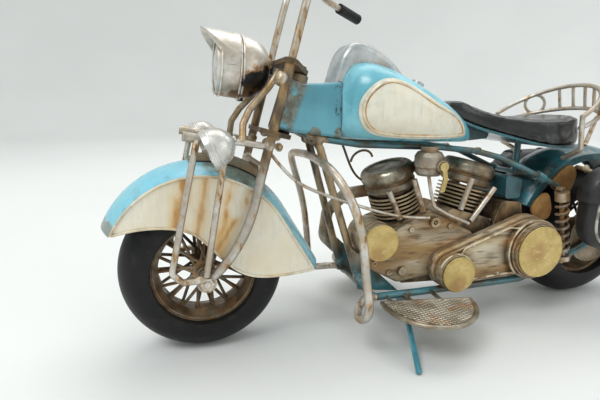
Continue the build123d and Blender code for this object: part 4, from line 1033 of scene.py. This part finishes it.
def control_cable():
    """One bent wire from the fork to the engine."""
    path = [(-84.5, -19.2, 98.5), (-81.5, -19.8, 94.0), (-75, -19.6, 86.5), (-69, -18.8, 81.6), (-54.4, -18.6, 75.0),
            (-33.6, -20.5, 67.8), (-17.2, -21.6, 62.6), (-1.4, -21.8, 61.6)]
    cable = add_piece("control_cable_wire", tube_mesh(path, 0.8), None, rod_metal, "steel")
    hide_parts("control_cable")
    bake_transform(cable)


control_cable()


# ---------------------------------------------------------------- floor, light, camera

def backdrop():
    """A wide pale dish: flat floor, a smooth curve all round, then a low wall, so no horizon shows from any side."""
    floor_radius, curve, tall = 1500, 900, 2000
    profile = [(floor_radius, 0)]
    for step in range(1, 17):
        angle = math.pi / 2 * step / 16
        profile.append((floor_radius + curve * math.sin(angle), curve * (1 - math.cos(angle))))
    profile.append((floor_radius + curve, tall))
    mesh = turned_mesh(profile, (0, 0, 0), (0, 0, 1), 96, ends="first")
    mesh.flip_normals()
    dish = bpy.data.objects.new("backdrop", mesh)
    bpy.context.collection.objects.link(dish)
    for face in mesh.polygons:
        face.use_smooth = True
    f = Finish("paper")
    tone = f.noise(350 * MM, 2)
    colour = f.mix(f.band(tone, 0.35, 0.65), (0.755, 0.765, 0.76), (0.735, 0.745, 0.74))
    mesh.materials.append(f.close(colour, 0.6, 0.0, [(f.noise(1.5 * MM, 3), 0.01 * MM)], shine=0.2))


def area_light(name, place, target, size, power_w, tint=(1, 1, 1)):
    data = bpy.data.lights.new(name, "AREA")
    data.shape = "RECTANGLE"
    data.size, data.size_y = size
    data.energy = power_w
    data.color = tint
    lamp = bpy.data.objects.new(name, data)
    bpy.context.collection.objects.link(lamp)
    lamp.location = place
    lamp.rotation_euler = (Vector(target) - Vector(place)).to_track_quat("-Z", "Y").to_euler()


def studio():
    world = bpy.data.worlds.new("studio")
    bpy.context.scene.world = world
    world.use_nodes = True
    sky = world.node_tree.nodes["Background"]
    sky.inputs["Color"].default_value = (0.97, 1.0, 0.985, 1.0)
    sky.inputs["Strength"].default_value = 0.86
    area_light("window", (-0.7, -0.45, 1.0), (0, 0, 0.08), (0.5, 0.4), 5.2, (0.985, 1.0, 0.99))
    area_light("top", (0.2, 0.35, 1.3), (0.05, 0, 0.05), (1.2, 0.8), 7.0, (1.0, 1.0, 0.985))
    area_light("fill", (0.9, -1.0, 0.6), (0, 0, 0.08), (0.9, 0.9), 3.0, (1.0, 0.985, 0.96))
    area_light("wall", (1.3, 0.4, 1.2), (0.9, 1.6, 0.5), (0.9, 0.9), 5.0, (0.99, 1.0, 0.995))


def photo_camera():
    """Stands left of the front wheel, a little above it, and looks along the bike."""
    place = Vector((-0.12864, -0.21962, 0.12115))
    forward = Vector((0.27453, 0.93694, -0.21628)).normalized()
    right = Vector((0.95946, -0.28184, -0.00309)).normalized()
    upward = right.cross(forward)
    data = bpy.data.cameras.new("photo_view")
    data.sensor_width = 36.0
    data.lens = 27.2
    data.clip_start = 0.01
    camera = bpy.data.objects.new("photo_view", data)
    bpy.context.collection.objects.link(camera)
    turn = Matrix((right, upward, -forward)).transposed().to_4x4()
    camera.matrix_world = Matrix.Translation(place) @ turn
    bpy.context.scene.camera = camera


backdrop()
studio()
photo_camera()
bpy.context.scene.view_settings.view_transform = "Standard"
